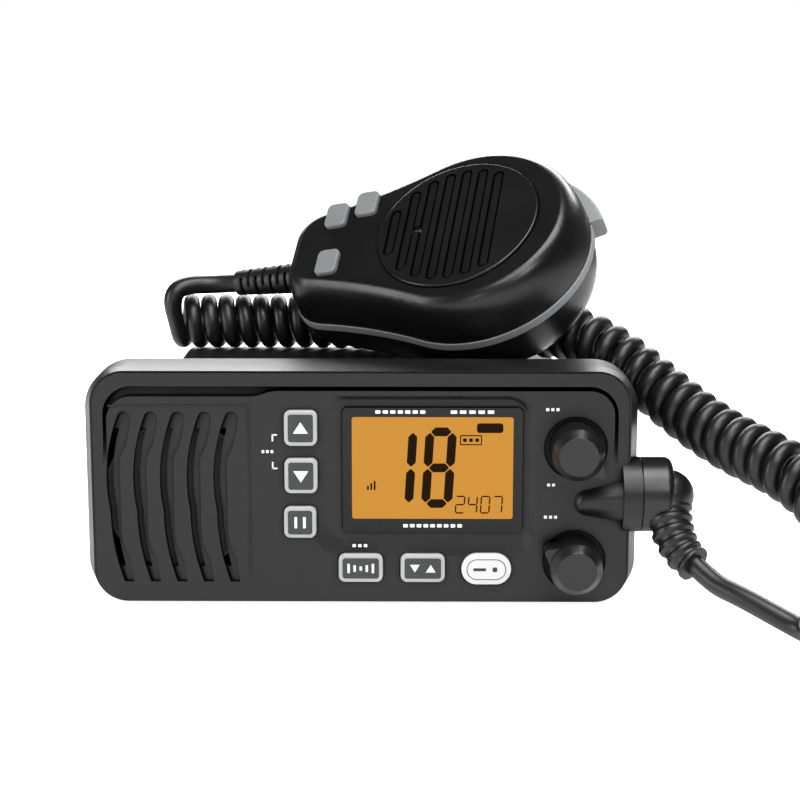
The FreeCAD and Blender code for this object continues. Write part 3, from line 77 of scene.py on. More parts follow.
CLOUD_GRAINS = 40  # a patch of wear is this many grains wide
# Painted shade: the near-black colour that grooves and corners are darkened to
PAINTED_SHADE_BLACK = (0.001, 0.001, 0.001, 1.0)
OPEN_SHINE = 0.42  # specular level out in the open, a little under a plain plastic's


def colour(hex_code):
    """An sRGB hex colour as the linear colour that a shader takes."""
    parts = [int(hex_code[i:i + 2], 16) / 255 for i in (1, 3, 5)]
    return tuple(c / 12.92 if c <= 0.04045 else ((c + 0.055) / 1.055) ** 2.4 for c in parts) + (1.0,)


def add_node(tree, kind, links=None, **settings):
    """Adds a node, sets its properties and its sockets' values, and joins sockets to it."""
    node = tree.nodes.new(kind)
    for key, value in settings.items():
        if hasattr(node, key):
            setattr(node, key, value)
        else:
            node.inputs[key.replace("_", " ")].default_value = value
    for socket, source in (links or {}).items():
        tree.links.new(source, node.inputs[socket])
    return node


def finish(name, shade, rough, grain_mm, depth_mm=0.0, spread=0.12, metal=0.0, coat=0.0, ior=1.5,
           rough_spread=0.08):
    """A surface whose colour and height follow a grain of real size, and its roughness wider patches.

    The shade is an sRGB hex colour, or a linear colour from the properties.
    """
    made = bpy.data.materials.get(name)
    if made:
        return made
    made = bpy.data.materials.new(name)
    made.use_nodes = True
    tree = made.node_tree
    shader = tree.nodes["Principled BSDF"]
    place = add_node(tree, "ShaderNodeTexCoord")
    grain = add_node(tree, "ShaderNodeTexNoise", {"Vector": place.outputs["Object"]},
                     Scale=1.0 / (grain_mm * MM), Detail=3.0, Roughness=0.55)
    cloud = add_node(tree, "ShaderNodeTexNoise", {"Vector": place.outputs["Object"]},
                     Scale=1.0 / (grain_mm * CLOUD_GRAINS * MM), Detail=2.0)
    base = colour(shade) if isinstance(shade, str) else tuple(shade)
    low = tuple(c * (1 - spread) for c in base[:3]) + (1.0,)
    high = tuple(min(1.0, c * (1 + spread)) for c in base[:3]) + (1.0,)
    mixed = add_node(tree, "ShaderNodeMath", {0: grain.outputs["Fac"], 1: cloud.outputs["Fac"]},
                     operation="MULTIPLY")
    ramp = add_node(tree, "ShaderNodeValToRGB", {"Fac": mixed.outputs[0]})
    ramp.color_ramp.elements[0].position = 0.1
    ramp.color_ramp.elements[0].color = low
    ramp.color_ramp.elements[1].position = 0.4
    ramp.color_ramp.elements[1].color = high
    tree.links.new(ramp.outputs["Color"], shader.inputs["Base Color"])
    worn = add_node(tree, "ShaderNodeMapRange", {"Value": cloud.outputs["Fac"]}, From_Min=0.3, From_Max=0.7,
                    To_Min=max(0.02, rough - rough_spread), To_Max=min(1.0, rough + rough_spread))
    tree.links.new(worn.outputs["Result"], shader.inputs["Roughness"])
    shader.inputs["Metallic"].default_value = metal
    if not metal:
        shader.inputs["IOR"].default_value = ior
    if coat:
        shader.inputs["Coat Weight"].default_value = coat
        shader.inputs["Coat Roughness"].default_value = 0.08
    if depth_mm:
        bump = add_node(tree, "ShaderNodeBump", {"Height": grain.outputs["Fac"]}, Strength=0.5,
                        Distance=depth_mm * MM)
        tree.links.new(bump.outputs["Normal"], shader.inputs["Normal"])
    return made


def paint_shade_in_hollows(material, reach_mm):
    """Paints shade into a finish's grooves and corners, where ambient occlusion finds them, and takes their
    shine, so that narrow gaps look deep.
    """
    tree = material.node_tree
    if "Ambient Occlusion" in tree.nodes:
        return material
    shader = tree.nodes["Principled BSDF"]
    base = shader.inputs["Base Color"].links[0].from_socket
    occlusion_probe = add_node(tree, "ShaderNodeAmbientOcclusion", Distance=reach_mm * MM)
    occlusion_probe.samples = 8
    share = add_node(tree, "ShaderNodeMapRange", {"Value": occlusion_probe.outputs["AO"]}, From_Min=0.35,
                     From_Max=0.95)
    # Painted shade: the colour fades to near black where grooves and corners close round a point
    mixed = add_node(tree, "ShaderNodeMix", {"Factor": share.outputs["Result"]}, data_type="RGBA")
    for socket in mixed.inputs:
        if socket.name == "A" and socket.type == "RGBA":
            socket.default_value = PAINTED_SHADE_BLACK
        if socket.name == "B" and socket.type == "RGBA":
            tree.links.new(base, socket)
    painted_shade_colour = [socket for socket in mixed.outputs if socket.type == "RGBA"][0]
    tree.links.new(painted_shade_colour, shader.inputs["Base Color"])
    # The shine falls away in the painted shade too
    shine = add_node(tree, "ShaderNodeMath", {0: share.outputs["Result"]}, operation="MULTIPLY")
    shine.inputs[1].default_value = OPEN_SHINE
    tree.links.new(shine.outputs[0], shader.inputs["Specular IOR Level"])
    return material


def moulded_abs():
    """Black ABS off a spark-eroded tool: a soft grey sheen and a fine even grain."""
    shade = bpy.context.scene.radio_finishes.panel
    # Painted shade darkens this finish in its grooves and corners
    return paint_shade_in_hollows(finish("moulded black ABS", shade, 0.38, 0.5, 0.012, rough_spread=0.05), 3.0)


def mic_abs():
    """The microphone's black ABS, smoother than the panel's, so its highlights are tighter."""
    shade = bpy.context.scene.radio_finishes.microphone
    # Painted shade darkens this finish in its grooves and corners
    return paint_shade_in_hollows(finish("satin black ABS", shade, 0.3, 0.6, 0.008, rough_spread=0.04), 2.0)


def knob_abs():
    """Black ABS of the knobs and the plug cap, smoother than the panel's, so its highlights are tighter."""
    return finish("knob ABS", "#111011", 0.3, 0.5, 0.006)


def cast_paint():
    """Black powder coat on die-cast aluminium: matt with a coarse orange peel."""
    return finish("black powder coat", "#0d0d0e", 0.5, 0.9, 0.03)


def cord_rubber():
    """Extruded black polyurethane of the curly cord: waxy, with a broad highlight."""
    return finish("extruded black polyurethane", "#0a0a0b", 0.4, 0.8, 0.006, rough_spread=0.05)


def boot_rubber():
    """Moulded black rubber of the strain reliefs, duller than the cord."""
    return finish("moulded black rubber", "#0c0c0d", 0.42, 0.6, 0.01)


def grey_rubber():
    """Mid-grey thermoplastic rubber of the talk bar and the band round the microphone."""
    return finish("grey thermoplastic rubber", "#838486", 0.55, 0.5, 0.01, spread=0.06)


def key_silicone():
    """Pale grey silicone of the key rims: matt, with hardly any grain."""
    return finish("pale grey silicone", "#a5a6a6", 0.5, 0.4, 0.004, spread=0.05)


def mic_key_silicone():
    """Mid grey silicone of the keys on the microphone."""
    return finish("mid grey silicone", "#707173", 0.5, 0.4, 0.004, spread=0.05)


def key_face():
    """Dark painted face of each key inside its pale rim."""
    return finish("dark key paint", "#303133", 0.45, 0.4, 0.004, spread=0.06)


def white_key():
    """Off-white silicone of the oval key."""
    return finish("off-white silicone", "#cfcfcf", 0.48, 0.5, 0.003, spread=0.03)


def white_ink():
    """Pad-printed white ink, thin and flat."""
    return finish("white pad-print ink", "#e6e6e6", 0.55, 0.3, spread=0.03)


def black_ink():
    """Dark ink on the pale key."""
    return finish("dark pad-print ink", "#2e2f31", 0.5, 0.3, spread=0.03)


def window_black():
    """The back-printed black border of the acrylic window, seen through its polished front."""
    return finish("back-printed acrylic", "#060607", 0.16, 1.2, spread=0.05, coat=0.1, ior=1.33,
                  rough_spread=0.03)


def amber_glass():
    """The backlit display: even amber light through a diffuser under polished acrylic."""
    made = finish("backlit amber display", "#4a300c", 0.35, 2.5, spread=0.05, ior=1.3)
    shader = made.node_tree.nodes["Principled BSDF"]
    shader.inputs["Emission Color"].default_value = bpy.context.scene.radio_finishes.amber
    shader.inputs["Emission Strength"].default_value = 0.86
    return made


def segment_ink():
    """Liquid crystal segments that are switched on: dark brown against the amber."""
    return finish("dark liquid crystal", "#1c1005", 0.6, 0.6, spread=0.05, ior=1.1)


def circuit_board():
    """Green solder mask over glass fibre."""
    return finish("green solder mask", "#1d5a34", 0.35, 0.7, 0.01)


def plain_steel():
    """Zinc-plated steel of screws and shafts."""
    return finish("zinc-plated steel", "#b9babb", 0.32, 0.3, 0.002, metal=1.0)


def nickel():
    """Nickel plate of the antenna socket."""
    return finish("nickel plate", "#c9c7c1", 0.2, 0.4, metal=1.0, spread=0.05)


def bright_tin():
    """Tinplate of the screening can."""
    return finish("tinplate", "#c4c5c4", 0.25, 1.5, 0.002, metal=1.0, spread=0.06)


def nut_brass():
    """Nickelled brass of the nuts and the insert."""
    return finish("nickelled brass", "#c7b98e", 0.3, 0.4, metal=1.0)


def seal_rubber():
    """Black nitrile of gaskets, seals and glands."""
    return finish("black nitrile", "#161616", 0.6, 0.6, 0.01)


def white_plastic():
    """White polycarbonate of the light tray."""
    return finish("white polycarbonate", "#e2e2dd", 0.4, 0.6, spread=0.03)


def speaker_cloth():
    """Black dust cloth: a dull grain stands for its weave, and is drawn coarser than the weave, to show."""
    return finish("black dust cloth", "#050505", 0.85, 0.5, 0.05)


def speaker_metal():
    """Black-painted steel of the loudspeaker's basket and magnet."""
    return finish("black paint on steel", "#0a0a0b", 0.6, 0.5)


def speaker_paper():
    """Pressed black paper pulp of the cone."""
    return finish("pressed paper pulp", "#232323", 0.8, 0.8, 0.03)


def black_module():
    """Black epoxy moulding of the module and the small switch."""
    return finish("black epoxy moulding", "#1c1c1e", 0.45, 0.5, 0.01)


def ribbon_film():
    """Pale polyester film of the flat cable."""
    return finish("pale polyester film", "#c9c8c0", 0.4, 0.8, spread=0.04)


FINISH_OF_SLOT = {
    "panel_plastic": moulded_abs, "seal_rubber": seal_rubber, "chassis_metal": cast_paint,
    "window": window_black, "display": amber_glass, "white_plastic": white_plastic,
    "key_rubber": key_silicone, "oval_key_rubber": white_key, "board": circuit_board,
    "knob_plastic": knob_abs, "steel": plain_steel, "brass": nut_brass, "speaker_cloth": speaker_cloth,
    "speaker_steel": speaker_metal, "speaker_paper": speaker_paper, "cap_rubber": boot_rubber,
    "cap_plastic": knob_abs, "cord_rubber": cord_rubber, "tinplate": bright_tin,
    "module_black": black_module, "ribbon": ribbon_film, "socket_metal": nickel, "mic_plastic": mic_abs,
    "grey_rubber": grey_rubber, "grille_plastic": mic_abs, "mic_key_rubber": mic_key_silicone,
}
RECORD = frame["record"]
SLOT_OF_NODE = {part["node"]: part["material_slot"] for part in RECORD["subparts"]}
BODY_OF_NODE = {node: body for body, nodes in RECORD["behaviour"]["bodies"].items() for node in nodes}


# Making pieces

MERGE_MM = 0.01  # corners of the CAD meshes closer than this are one
FLAT_DEGREES = 0.4  # faces that turn less than this are one flat face


def only(obj=None):
    """Leaves nothing, or one object, selected."""
    bpy.ops.object.select_all(action="DESELECT")
    bpy.context.view_layer.objects.active = obj
    if obj:
        obj.select_set(True)


def settle(obj, name, body, material, smooth=35.0):
    """Puts a new piece's place in its mesh, finishes it and fixes it to a body."""
    only(obj)
    bpy.ops.object.transform_apply(location=True, rotation=True, scale=True)
    obj.name = name
    obj.data.name = name
    bpy.ops.object.shade_smooth_by_angle(angle=math.radians(smooth))
    obj.data.materials.clear()
    obj.data.materials.append(material)
    if body:
        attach(obj, body)


def carried(node):
    """Gives its finish to a CAD piece whose own shape shows."""
    obj = frame["nodes"][node]
    material = FINISH_OF_SLOT[SLOT_OF_NODE[node]]()
    if not obj.material_slots:
        obj.data.materials.append(material)
    for slot in obj.material_slots:
        slot.link = "OBJECT"
        slot.material = material


def dressed(node, edge_mm, angle=38.0, material=None, steps=2):
    """Puts in a CAD piece's stead a copy with its sharp edges eased, as a moulding's are."""
    source = frame["nodes"][node]
    obj = bpy.data.objects.new(node + "_moulded", source.data.copy())
    bpy.context.scene.collection.objects.link(obj)
    only(obj)
    bpy.ops.object.mode_set(mode="EDIT")
    bpy.ops.mesh.select_all(action="SELECT")
    bpy.ops.mesh.customdata_custom_splitnormals_clear()
    bpy.ops.mesh.remove_doubles(threshold=MERGE_MM * MM)
    bpy.ops.mesh.dissolve_limited(angle_limit=math.radians(FLAT_DEGREES))
    bpy.ops.object.mode_set(mode="OBJECT")
    ease = obj.modifiers.new("Eased edges", "BEVEL")
    ease.width = edge_mm * MM
    ease.segments = steps
    ease.limit_method = "ANGLE"
    ease.angle_limit = math.radians(angle)
    ease.use_clamp_overlap = True
    ease.harden_normals = False
    bpy.ops.object.modifier_apply(modifier=ease.name)
    slot = SLOT_OF_NODE[node]
    settle(obj, node + "_moulded", BODY_OF_NODE[node], material or FINISH_OF_SLOT[slot]())
    flat = obj.modifiers.new("Flat faces", "WEIGHTED_NORMAL")
    flat.keep_sharp = True
    only(obj)
    bpy.ops.object.modifier_apply(modifier=flat.name)
    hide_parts(node)


def select_edges(obj, test):
    """In edit mode, selects the edges whose two ends pass the test."""
    bpy.ops.object.mode_set(mode="OBJECT")
    for vertex in obj.data.vertices:
        vertex.select = False
    for face in obj.data.polygons:
        face.select = False
    for edge in obj.data.edges:
        a, b = (obj.data.vertices[i].co for i in edge.vertices)
        edge.select = test(a, b)
    bpy.ops.object.mode_set(mode="EDIT")


def tablet(centre, size, corner_mm, edge_mm=0.0, steps=5):
    """A flat plate facing the front: width, thickness and height in millimetres, with round corners."""
    only()
    bpy.ops.mesh.primitive_cube_add(size=1, location=Vector(centre) * MM)
    obj = bpy.context.object
    obj.scale = Vector(size) * MM
    bpy.ops.object.transform_apply(location=True, rotation=True, scale=True)
    bpy.ops.object.mode_set(mode="EDIT")
    bpy.ops.mesh.select_mode(type="EDGE")
    select_edges(obj, lambda a, b: abs(a.x - b.x) < SAME and abs(a.z - b.z) < SAME)
    bpy.ops.mesh.bevel(offset=corner_mm * MM, segments=steps, affect="EDGES")
    bpy.ops.object.mode_set(mode="OBJECT")
    if edge_mm:
        front = min(v.co.y for v in obj.data.vertices)
        select_edges(obj, lambda a, b: abs(a.y - front) < SAME and abs(b.y - front) < SAME)
        bpy.ops.mesh.bevel(offset=edge_mm * MM, segments=2, affect="EDGES")
        bpy.ops.object.mode_set(mode="OBJECT")
    return obj


def triangle(centre, width, height, thick, point_up=True):
    """A flat triangle facing the front, in millimetres."""
    only()
    bpy.ops.mesh.primitive_cylinder_add(vertices=3, radius=1, depth=1, location=(0, 0, 0))
    obj = bpy.context.object
    turn = Matrix.Rotation(math.radians(90), 4, "X")
    flat = Matrix.Rotation(0 if point_up else math.radians(180), 4, "Y")
    obj.data.transform(flat @ turn)
    xs = [v.co.x for v in obj.data.vertices]
    zs = [v.co.z for v in obj.data.vertices]
    wide, tall = max(xs) - min(xs), max(zs) - min(zs)
    middle = (max(zs) + min(zs)) / 2
    for v in obj.data.vertices:
        v.co = Vector((v.co.x / wide * width, v.co.y * thick, (v.co.z - middle) / tall * height)) * MM
        v.co += Vector(centre) * MM
    return obj


def join(objects):
    """Makes one piece of several."""
    only(objects[0])
    for obj in objects:
        obj.select_set(True)
    bpy.ops.object.join()
    return bpy.context.object


# Cord

# The route of the coil's middle, in millimetres
COIL_AXIS = [(-70.6, 44.5, 80.2), (-45.0, 44.5, 80.2), (-20.0, 44.5, 80.2), (2.0, 41.0, 80.2),
             (22.0, 35.0, 80.2), (42.0, 25.5, 80.6), (60.0, 14.5, 82.0), (74.0, 6.8, 82.0),
             (84.7, -5.0, 77.8), (95.5, -15.0, 70.8), (104.8, -24.0, 63.6), (113.5, -35.0, 57.8),
             (122.9, -48.0, 53.2), (133.6, -63.0, 50.2), (142.0, -75.0, 46.0), (150.0, -86.0, 37.0),
             (156.0, -97.0, 24.0), (158.5, -109.0, 12.5), (157.0, -121.0, 10.4), (148.0, -128.0, 10.4),
             (137.0, -127.0, 10.4)]
COIL_WIRE = 5.8
COIL_GAP = 0.55
COIL_START = 15.0  # degrees
COIL_END_TURN = -0.14
ROUTE_STEP = 0.4
TURN_POINTS = 26
BEND_REACH = 8  # steps to each side that a bend is measured over
BEND_SPREAD = 18  # steps to each side that a bend opens the curls for
BEND_MARGIN = 1.06  # how much more than the bend itself opens them

# The leads' free points, and where they go in and out
MIC_LEAD_MID = [(-68.9, 35.4, 95.0)]
RADIO_LEAD_MID = [(140.0, -103.5, 6.0), (139.0, -94.5, 4.0), (129.0, -87.0, 8.0), (120.6, -80.0, 11.3)]
ELBOW_END = Vector((107.9, -66.9, 17.9))
ELBOW_OUT = Vector((3.4, -4.0, -3.1)).normalized()
BOOT_LEN = 25.3
BOOT_V = 0.7
BOOT_TILT = 0.08
BOOT_H = 3.0
MIC_LEAD_IN = 2.0
MIC_LEAD_OUT = 8.0
MIC_LEAD_JOIN = 6.6
RADIO_LEAD_JOIN = 8.0
RADIO_LEAD_OUT = 9.0
RADIO_LEAD_IN = 1.0
MIC_LEAD_STEP = 1.2
RADIO_LEAD_STEP = 1.6
TAPER_POINTS = 6.0  # over which the wire thickens to a lead


def along_route(points, finest=24):
    """Points on the smooth curve that a route gives, in metres."""
    curve = bpy.data.curves.new("route", "CURVE")
    curve.dimensions = "3D"
    curve.resolution_u = finest
    spline = curve.splines.new("NURBS")
    spline.points.add(len(points) - 1)
    for target, p in zip(spline.points, points):
        target.co = (p[0] * MM, p[1] * MM, p[2] * MM, 1.0)
    spline.order_u = 3
    spline.use_endpoint_u = True
    holder = bpy.data.objects.new("route", curve)
    bpy.context.scene.collection.objects.link(holder)
    mesh = bpy.data.meshes.new_from_object(holder)
    found = [v.co.copy() for v in mesh.vertices]
    bpy.data.objects.remove(holder)
    bpy.data.meshes.remove(mesh)
    bpy.data.curves.remove(curve)
    return found


def evenly(points, step):
    """The same line with points at an even spacing."""
    total = [0.0]
    for a, b in zip(points, points[1:]):
        total.append(total[-1] + (b - a).length)
    count = max(2, int(round(total[-1] / step)))
    out, j = [], 0
    for i in range(count + 1):
        s = total[-1] * i / count
        while j < len(points) - 2 and total[j + 1] < s:
            j += 1
        part = (s - total[j]) / max(total[j + 1] - total[j], 1e-12)
        out.append(points[j].lerp(points[j + 1], part))
    return out


def carried_frames(points, normal):
    """A direction and two square ones at each point, carried along without twist."""
    frames = []
    for i in range(len(points)):
        t = (points[min(i + 1, len(points) - 1)] - points[max(i - 1, 0)]).normalized()
        normal = (normal - t * normal.dot(t)).normalized()
        frames.append((t, normal.copy(), t.cross(normal)))
    return frames


def curled_line():
    """The wire's middle line: a curl round the route that opens out on the bends."""
    centres = evenly(along_route(COIL_AXIS, 40), ROUTE_STEP * MM)
    n = len(centres) - 1
    step = (centres[1] - centres[0]).length / MM
    frames = carried_frames(centres, Vector((0, -1, 0)))
    sizes = bpy.context.scene.radio_cord
    radius = (sizes.coil_outside / MM - COIL_WIRE) / 2
    bends = []
    for i in range(n + 1):
        lo, hi = max(i - BEND_REACH, 0), min(i + BEND_REACH, n)
        bends.append(frames[lo][0].angle(frames[hi][0]) / ((hi - lo) * step))
    spans = [slice(max(i - BEND_SPREAD, 0), min(i + BEND_SPREAD, n) + 1) for i in range(n + 1)]
    most = [max(bends[span]) for span in spans]
    smooth = [sum(most[span]) / len(most[span]) for span in spans]
    turns = [0.0]
    for i in range(n):
        bend = (smooth[i] + smooth[i + 1]) / 2
        pitch = max(sizes.pitch / MM, (COIL_WIRE + COIL_GAP) / (1 - BEND_MARGIN * radius * bend))
        turns.append(turns[-1] + step / pitch)
    whole = round(turns[-1]) + COIL_END_TURN
    turns = [t * whole / turns[-1] for t in turns]
    line, j = [], 0
    count = int(whole * TURN_POINTS)
    for k in range(count + 1):
        turn = whole * k / count
        while j < n - 1 and turns[j + 1] < turn:
            j += 1
        part = (turn - turns[j]) / (turns[j + 1] - turns[j])
        c = centres[j].lerp(centres[j + 1], part)
        a = frames[j][1].lerp(frames[j + 1][1], part).normalized()
        b = frames[j][2].lerp(frames[j + 1][2], part).normalized()
        angle = math.radians(COIL_START) + 2 * math.pi * turn
        line.append(c + (a * math.cos(angle) + b * math.sin(angle)) * radius * MM)
    return line


def mic_point(u, v, h):
    """A place on the microphone, in millimetres: along it, across it and out of its face."""
    w = MIC_N.cross(MIC_U)
    return MIC_O + MIC_U * u + w * v + MIC_N * h


def tube(name, points, radii, sides=14):
    """A mesh tube through points, closed flat at both ends."""
    frames = carried_frames(points, Vector((0.3, 0.2, 1.0)))
    verts, faces = [], []
    for p, r, (_, a, b) in zip(points, radii, frames):
        for k in range(sides):
            q = 2 * math.pi * k / sides
            verts.append(p + (a * math.cos(q) + b * math.sin(q)) * r)
    for i in range(len(points) - 1):
        for k in range(sides):
            m = (k + 1) % sides
            faces.append((i * sides + k, i * sides + m, (i + 1) * sides + m, (i + 1) * sides + k))
    faces.append(tuple(reversed(range(sides))))
    faces.append(tuple(range((len(points) - 1) * sides, len(points) * sides)))
    mesh = bpy.data.meshes.new(name)
    mesh.from_pydata(verts, [], faces)
    mesh.update()
    obj = bpy.data.objects.new(name, mesh)
    bpy.context.scene.collection.objects.link(obj)
    return obj


class RADIO_OT_cord(bpy.types.Operator):
    """Adds the curly cord with its straight leads to the microphone and to the side port"""
    bl_idname = "radio.cord"
    bl_label = "Curly cord"

    def execute(self, context):
        sizes = context.scene.radio_cord
        curl = curled_line()
        first = (curl[0] - curl[1]).normalized()
        last = (curl[-1] - curl[-2]).normalized()
        start = curl[0] / MM + first * COIL_WIRE
        end = curl[-1] / MM + last * COIL_WIRE
        boot_dir = Vector((1, -BOOT_TILT, 0)).normalized()
        tip = Vector((0, BOOT_V, BOOT_H)) - boot_dir * BOOT_LEN
        leave = mic_point(*tip)
        along = mic_point(*(tip + boot_dir)) - leave
        mic_route = [leave + along * MIC_LEAD_IN, leave - along * MIC_LEAD_OUT]
        mic_route += [Vector(p) for p in MIC_LEAD_MID] + [start + first * MIC_LEAD_JOIN, start]
        radio_route = [end, end + last * RADIO_LEAD_JOIN] + [Vector(p) for p in RADIO_LEAD_MID]
        radio_route += [ELBOW_END + ELBOW_OUT * RADIO_LEAD_OUT, ELBOW_END - ELBOW_OUT * RADIO_LEAD_IN]
        mic_line = evenly(along_route(mic_route), MIC_LEAD_STEP * MM)
        radio_line = evenly(along_route(radio_route), RADIO_LEAD_STEP * MM)
        line = mic_line + curl + radio_line
        thin, thick = sizes.wire / 2, sizes.lead / 2
        radii = []
        for i in range(len(line)):
            near = min(abs(i - len(mic_line)), abs(i - len(mic_line) - len(curl)))
            in_curl = len(mic_line) <= i < len(mic_line) + len(curl)
            share = 1.0 if in_curl else max(0.0, 1.0 - near / TAPER_POINTS)
            radii.append(thick + (thin - thick) * share)
        cord = tube("curly_cord_tube", line, radii)
        settle(cord, "curly_cord_tube", None, cord_rubber(), smooth=60.0)
        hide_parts("curly_cord", "mic_lead", "radio_lead")
        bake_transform(cord)
        return {"FINISHED"}


# Stage

CAMERA_TARGET = Vector((12.9, -55.0, 69.4))  # in millimetres
FLOOR_SIZE = 4.0
FLOOR_PLACE = (0, 0.6, -0.0002)  # just under the feet, so that nothing lies in one plane
FLOOR_BOUNCE = 0.15  # the floor's own light on the object

# Each lamp: name, place, aim, width and height in metres, and power in watts
LAMPS = [("back soft box", (0.10, 0.85, 0.55), (0.0, 0.0, 0.06), 1.3, 0.35, 11.0),
         ("overhead box", (0.16, -0.24, 0.80), (0.03, -0.04, 0.05), 0.55, 0.4, 6.5),
         ("left box", (-0.85, -0.30, 0.25), (-0.02, -0.03, 0.05), 0.25, 0.5, 3.0),
         ("front fill", (-0.15, -1.2, 0.30), (0.0, -0.03, 0.05), 0.9, 0.6, 0.7),
         ("top front box", (0.02, -0.66, 0.72), (0.03, -0.05, 0.05), 0.5, 0.16, 3.0),
         ("right glint", (0.40, -0.95, 0.62), (0.04, -0.03, 0.08), 0.3, 0.12, 2.6),
         ("left glint", (-0.37, -1.05, 0.22), (0.02, -0.05, 0.04), 0.1, 0.1, 0.7)]


class RADIO_OT_stage(bpy.types.Operator):
    """Adds the pale floor, the studio light and the camera"""
    bl_idname = "radio.stage"
    bl_label = "Stage"

    def execute(self, context):
        settings = context.scene.radio_stage
        only()
        bpy.ops.mesh.primitive_plane_add(size=FLOOR_SIZE, location=FLOOR_PLACE)
        floor = bpy.context.object
        floor.name = "floor"
        paper = bpy.data.materials.new("white paper sweep")
        paper.use_nodes = True
        tree = paper.node_tree
        shader = tree.nodes["Principled BSDF"]
        shader.inputs["Base Color"].default_value = colour("#f4f4f4")
        shader.inputs["Roughness"].default_value = 0.9
        path = add_node(tree, "ShaderNodeLightPath")
        glow = add_node(tree, "ShaderNodeMapRange", {"Value": path.outputs["Is Camera Ray"]},
                        To_Min=FLOOR_BOUNCE, To_Max=settings.floor_glow)
        seen = add_node(tree, "ShaderNodeEmission", {"Strength": glow.outputs["Result"]}, Color=(1, 1, 1, 1))
        both = add_node(tree, "ShaderNodeAddShader", {0: shader.outputs[0], 1: seen.outputs[0]})
        tree.links.new(both.outputs[0], tree.nodes["Material Output"].inputs["Surface"])
        floor.data.materials.append(paper)
        self.lights(context)
        self.world(context)
        self.camera(context, settings)
        context.scene.view_settings.view_transform = "Standard"
        return {"FINISHED"}

    def lights(self, context):
        for name, place, aim, wide, tall, watts in LAMPS:
            data = bpy.data.lights.new(name, "AREA")
            data.shape = "RECTANGLE"
            data.size = wide
            data.size_y = tall
            data.energy = watts
            lamp = bpy.data.objects.new(name, data)
            context.scene.collection.objects.link(lamp)
            lamp.location = place
            lamp.rotation_euler = (Vector(aim) - Vector(place)).to_track_quat("-Z", "Y").to_euler()

    def world(self, context):
        world = bpy.data.worlds.new("studio")
        context.scene.world = world
        world.use_nodes = True
        tree = world.node_tree
        tree.nodes.clear()
        path = add_node(tree, "ShaderNodeLightPath")
        soft = add_node(tree, "ShaderNodeBackground", Color=(1, 1, 1, 1), Strength=0.10)
        white = add_node(tree, "ShaderNodeBackground", Color=(1, 1, 1, 1), Strength=1.0)
        mixed = add_node(tree, "ShaderNodeMixShader", {0: path.outputs["Is Camera Ray"], 1: soft.outputs[0],
                                                       2: white.outputs[0]})
        add_node(tree, "ShaderNodeOutputWorld", {"Surface": mixed.outputs[0]})

    def camera(self, context, settings):
        data = bpy.data.cameras.new("camera")
        data.sensor_width = 36.0
        data.lens = settings.lens
        camera = bpy.data.objects.new("camera", data)
        context.scene.collection.objects.link(camera)
        rise, turn = settings.elevation, settings.azimuth
        back = Vector((math.sin(turn) * math.cos(rise), -math.cos(turn) * math.cos(rise), math.sin(rise)))
        camera.location = CAMERA_TARGET * MM + back * settings.distance
        camera.rotation_euler = (-back).to_track_quat("-Z", "Y").to_euler()
        data.clip_start = 0.01
        context.scene.camera = camera


# Front

class RADIO_OT_panel(bpy.types.Operator):
    """Finishes the front panel moulding"""
    bl_idname = "radio.panel"
    bl_label = "Front panel"

    def execute(self, context):
        dressed("front_panel", 0.35, angle=30.0)
        return {"FINISHED"}


INK = 0.06  # thickness of printing on the panel, the window and the display
INK_CORNER = 0.1
FIELD_Y = WINDOW_FRONT_Y - 0.02
FIGURES_Y = WINDOW_FRONT_Y - 0.1
SEGMENT_LEAN = 0.06
SEGMENT_CORNER = 0.42  # share of a segment's width
SEGMENTS = {"0": "abcdef", "1": "bc", "2": "abged", "3": "abgcd", "4": "fgbc", "5": "afgcd", "6": "afgedc",
            "7": "abc", "8": "abcdefg", "9": "abcdfg"}

# Plain signs on the display: centre x, centre z, width, height and corner
DISPLAY_SIGNS = [(42.2, 60.0, 8.6, 3.2, 0.9)]
DISPLAY_SIGNS += [(36.0 + side * 3.4, 56.0, 0.35, 3.2, INK_CORNER) for side in (-1, 1)]
DISPLAY_SIGNS += [(36.0, 56.0 + side * 1.5, 6.6, 0.35, INK_CORNER) for side in (-1, 1)]
DISPLAY_SIGNS += [(34.0 + i * 2.0, 56.0, 1.2, 1.2, 0.3) for i in range(3)]
DISPLAY_SIGNS += [(2.4 + i * 1.1, 40.0 + i * 0.4, 0.6, 1.4 + i * 0.8, INK_CORNER) for i in range(3)]


def seven_segment(text, x, z, height, width, stroke, gap, split):
    """Plain seven-segment figures from a bottom left corner, in millimetres, with split between segments."""
    out = []
    half = height / 2
    for char in text:
        wide = stroke if char == "1" else width
        spots = {
            "a": (wide / 2, height - stroke / 2, True), "g": (wide / 2, half, True),
            "d": (wide / 2, stroke / 2, True), "b": (wide - stroke / 2, half * 1.5, False),
            "c": (wide - stroke / 2, half * 0.5, False), "f": (stroke / 2, half * 1.5, False),
            "e": (stroke / 2, half * 0.5, False),
        }
        for key in SEGMENTS[char]:
            dx, dz, flat = spots[key]
            if flat:
                size = (wide - stroke - 2 * split, INK, stroke)
            else:
                size = (stroke, INK, half - stroke / 2 - 2 * split)
                dz += stroke / 4 * (-1 if dz > half else 1)
            corner = min(size[0], size[2]) * SEGMENT_CORNER
            piece = tablet((x + dx, FIGURES_Y, z + dz), size, corner, steps=1)
            for v in piece.data.vertices:
                v.co.x += (v.co.z - z * MM) * SEGMENT_LEAN
            out.append(piece)
        x += wide + gap
    return out


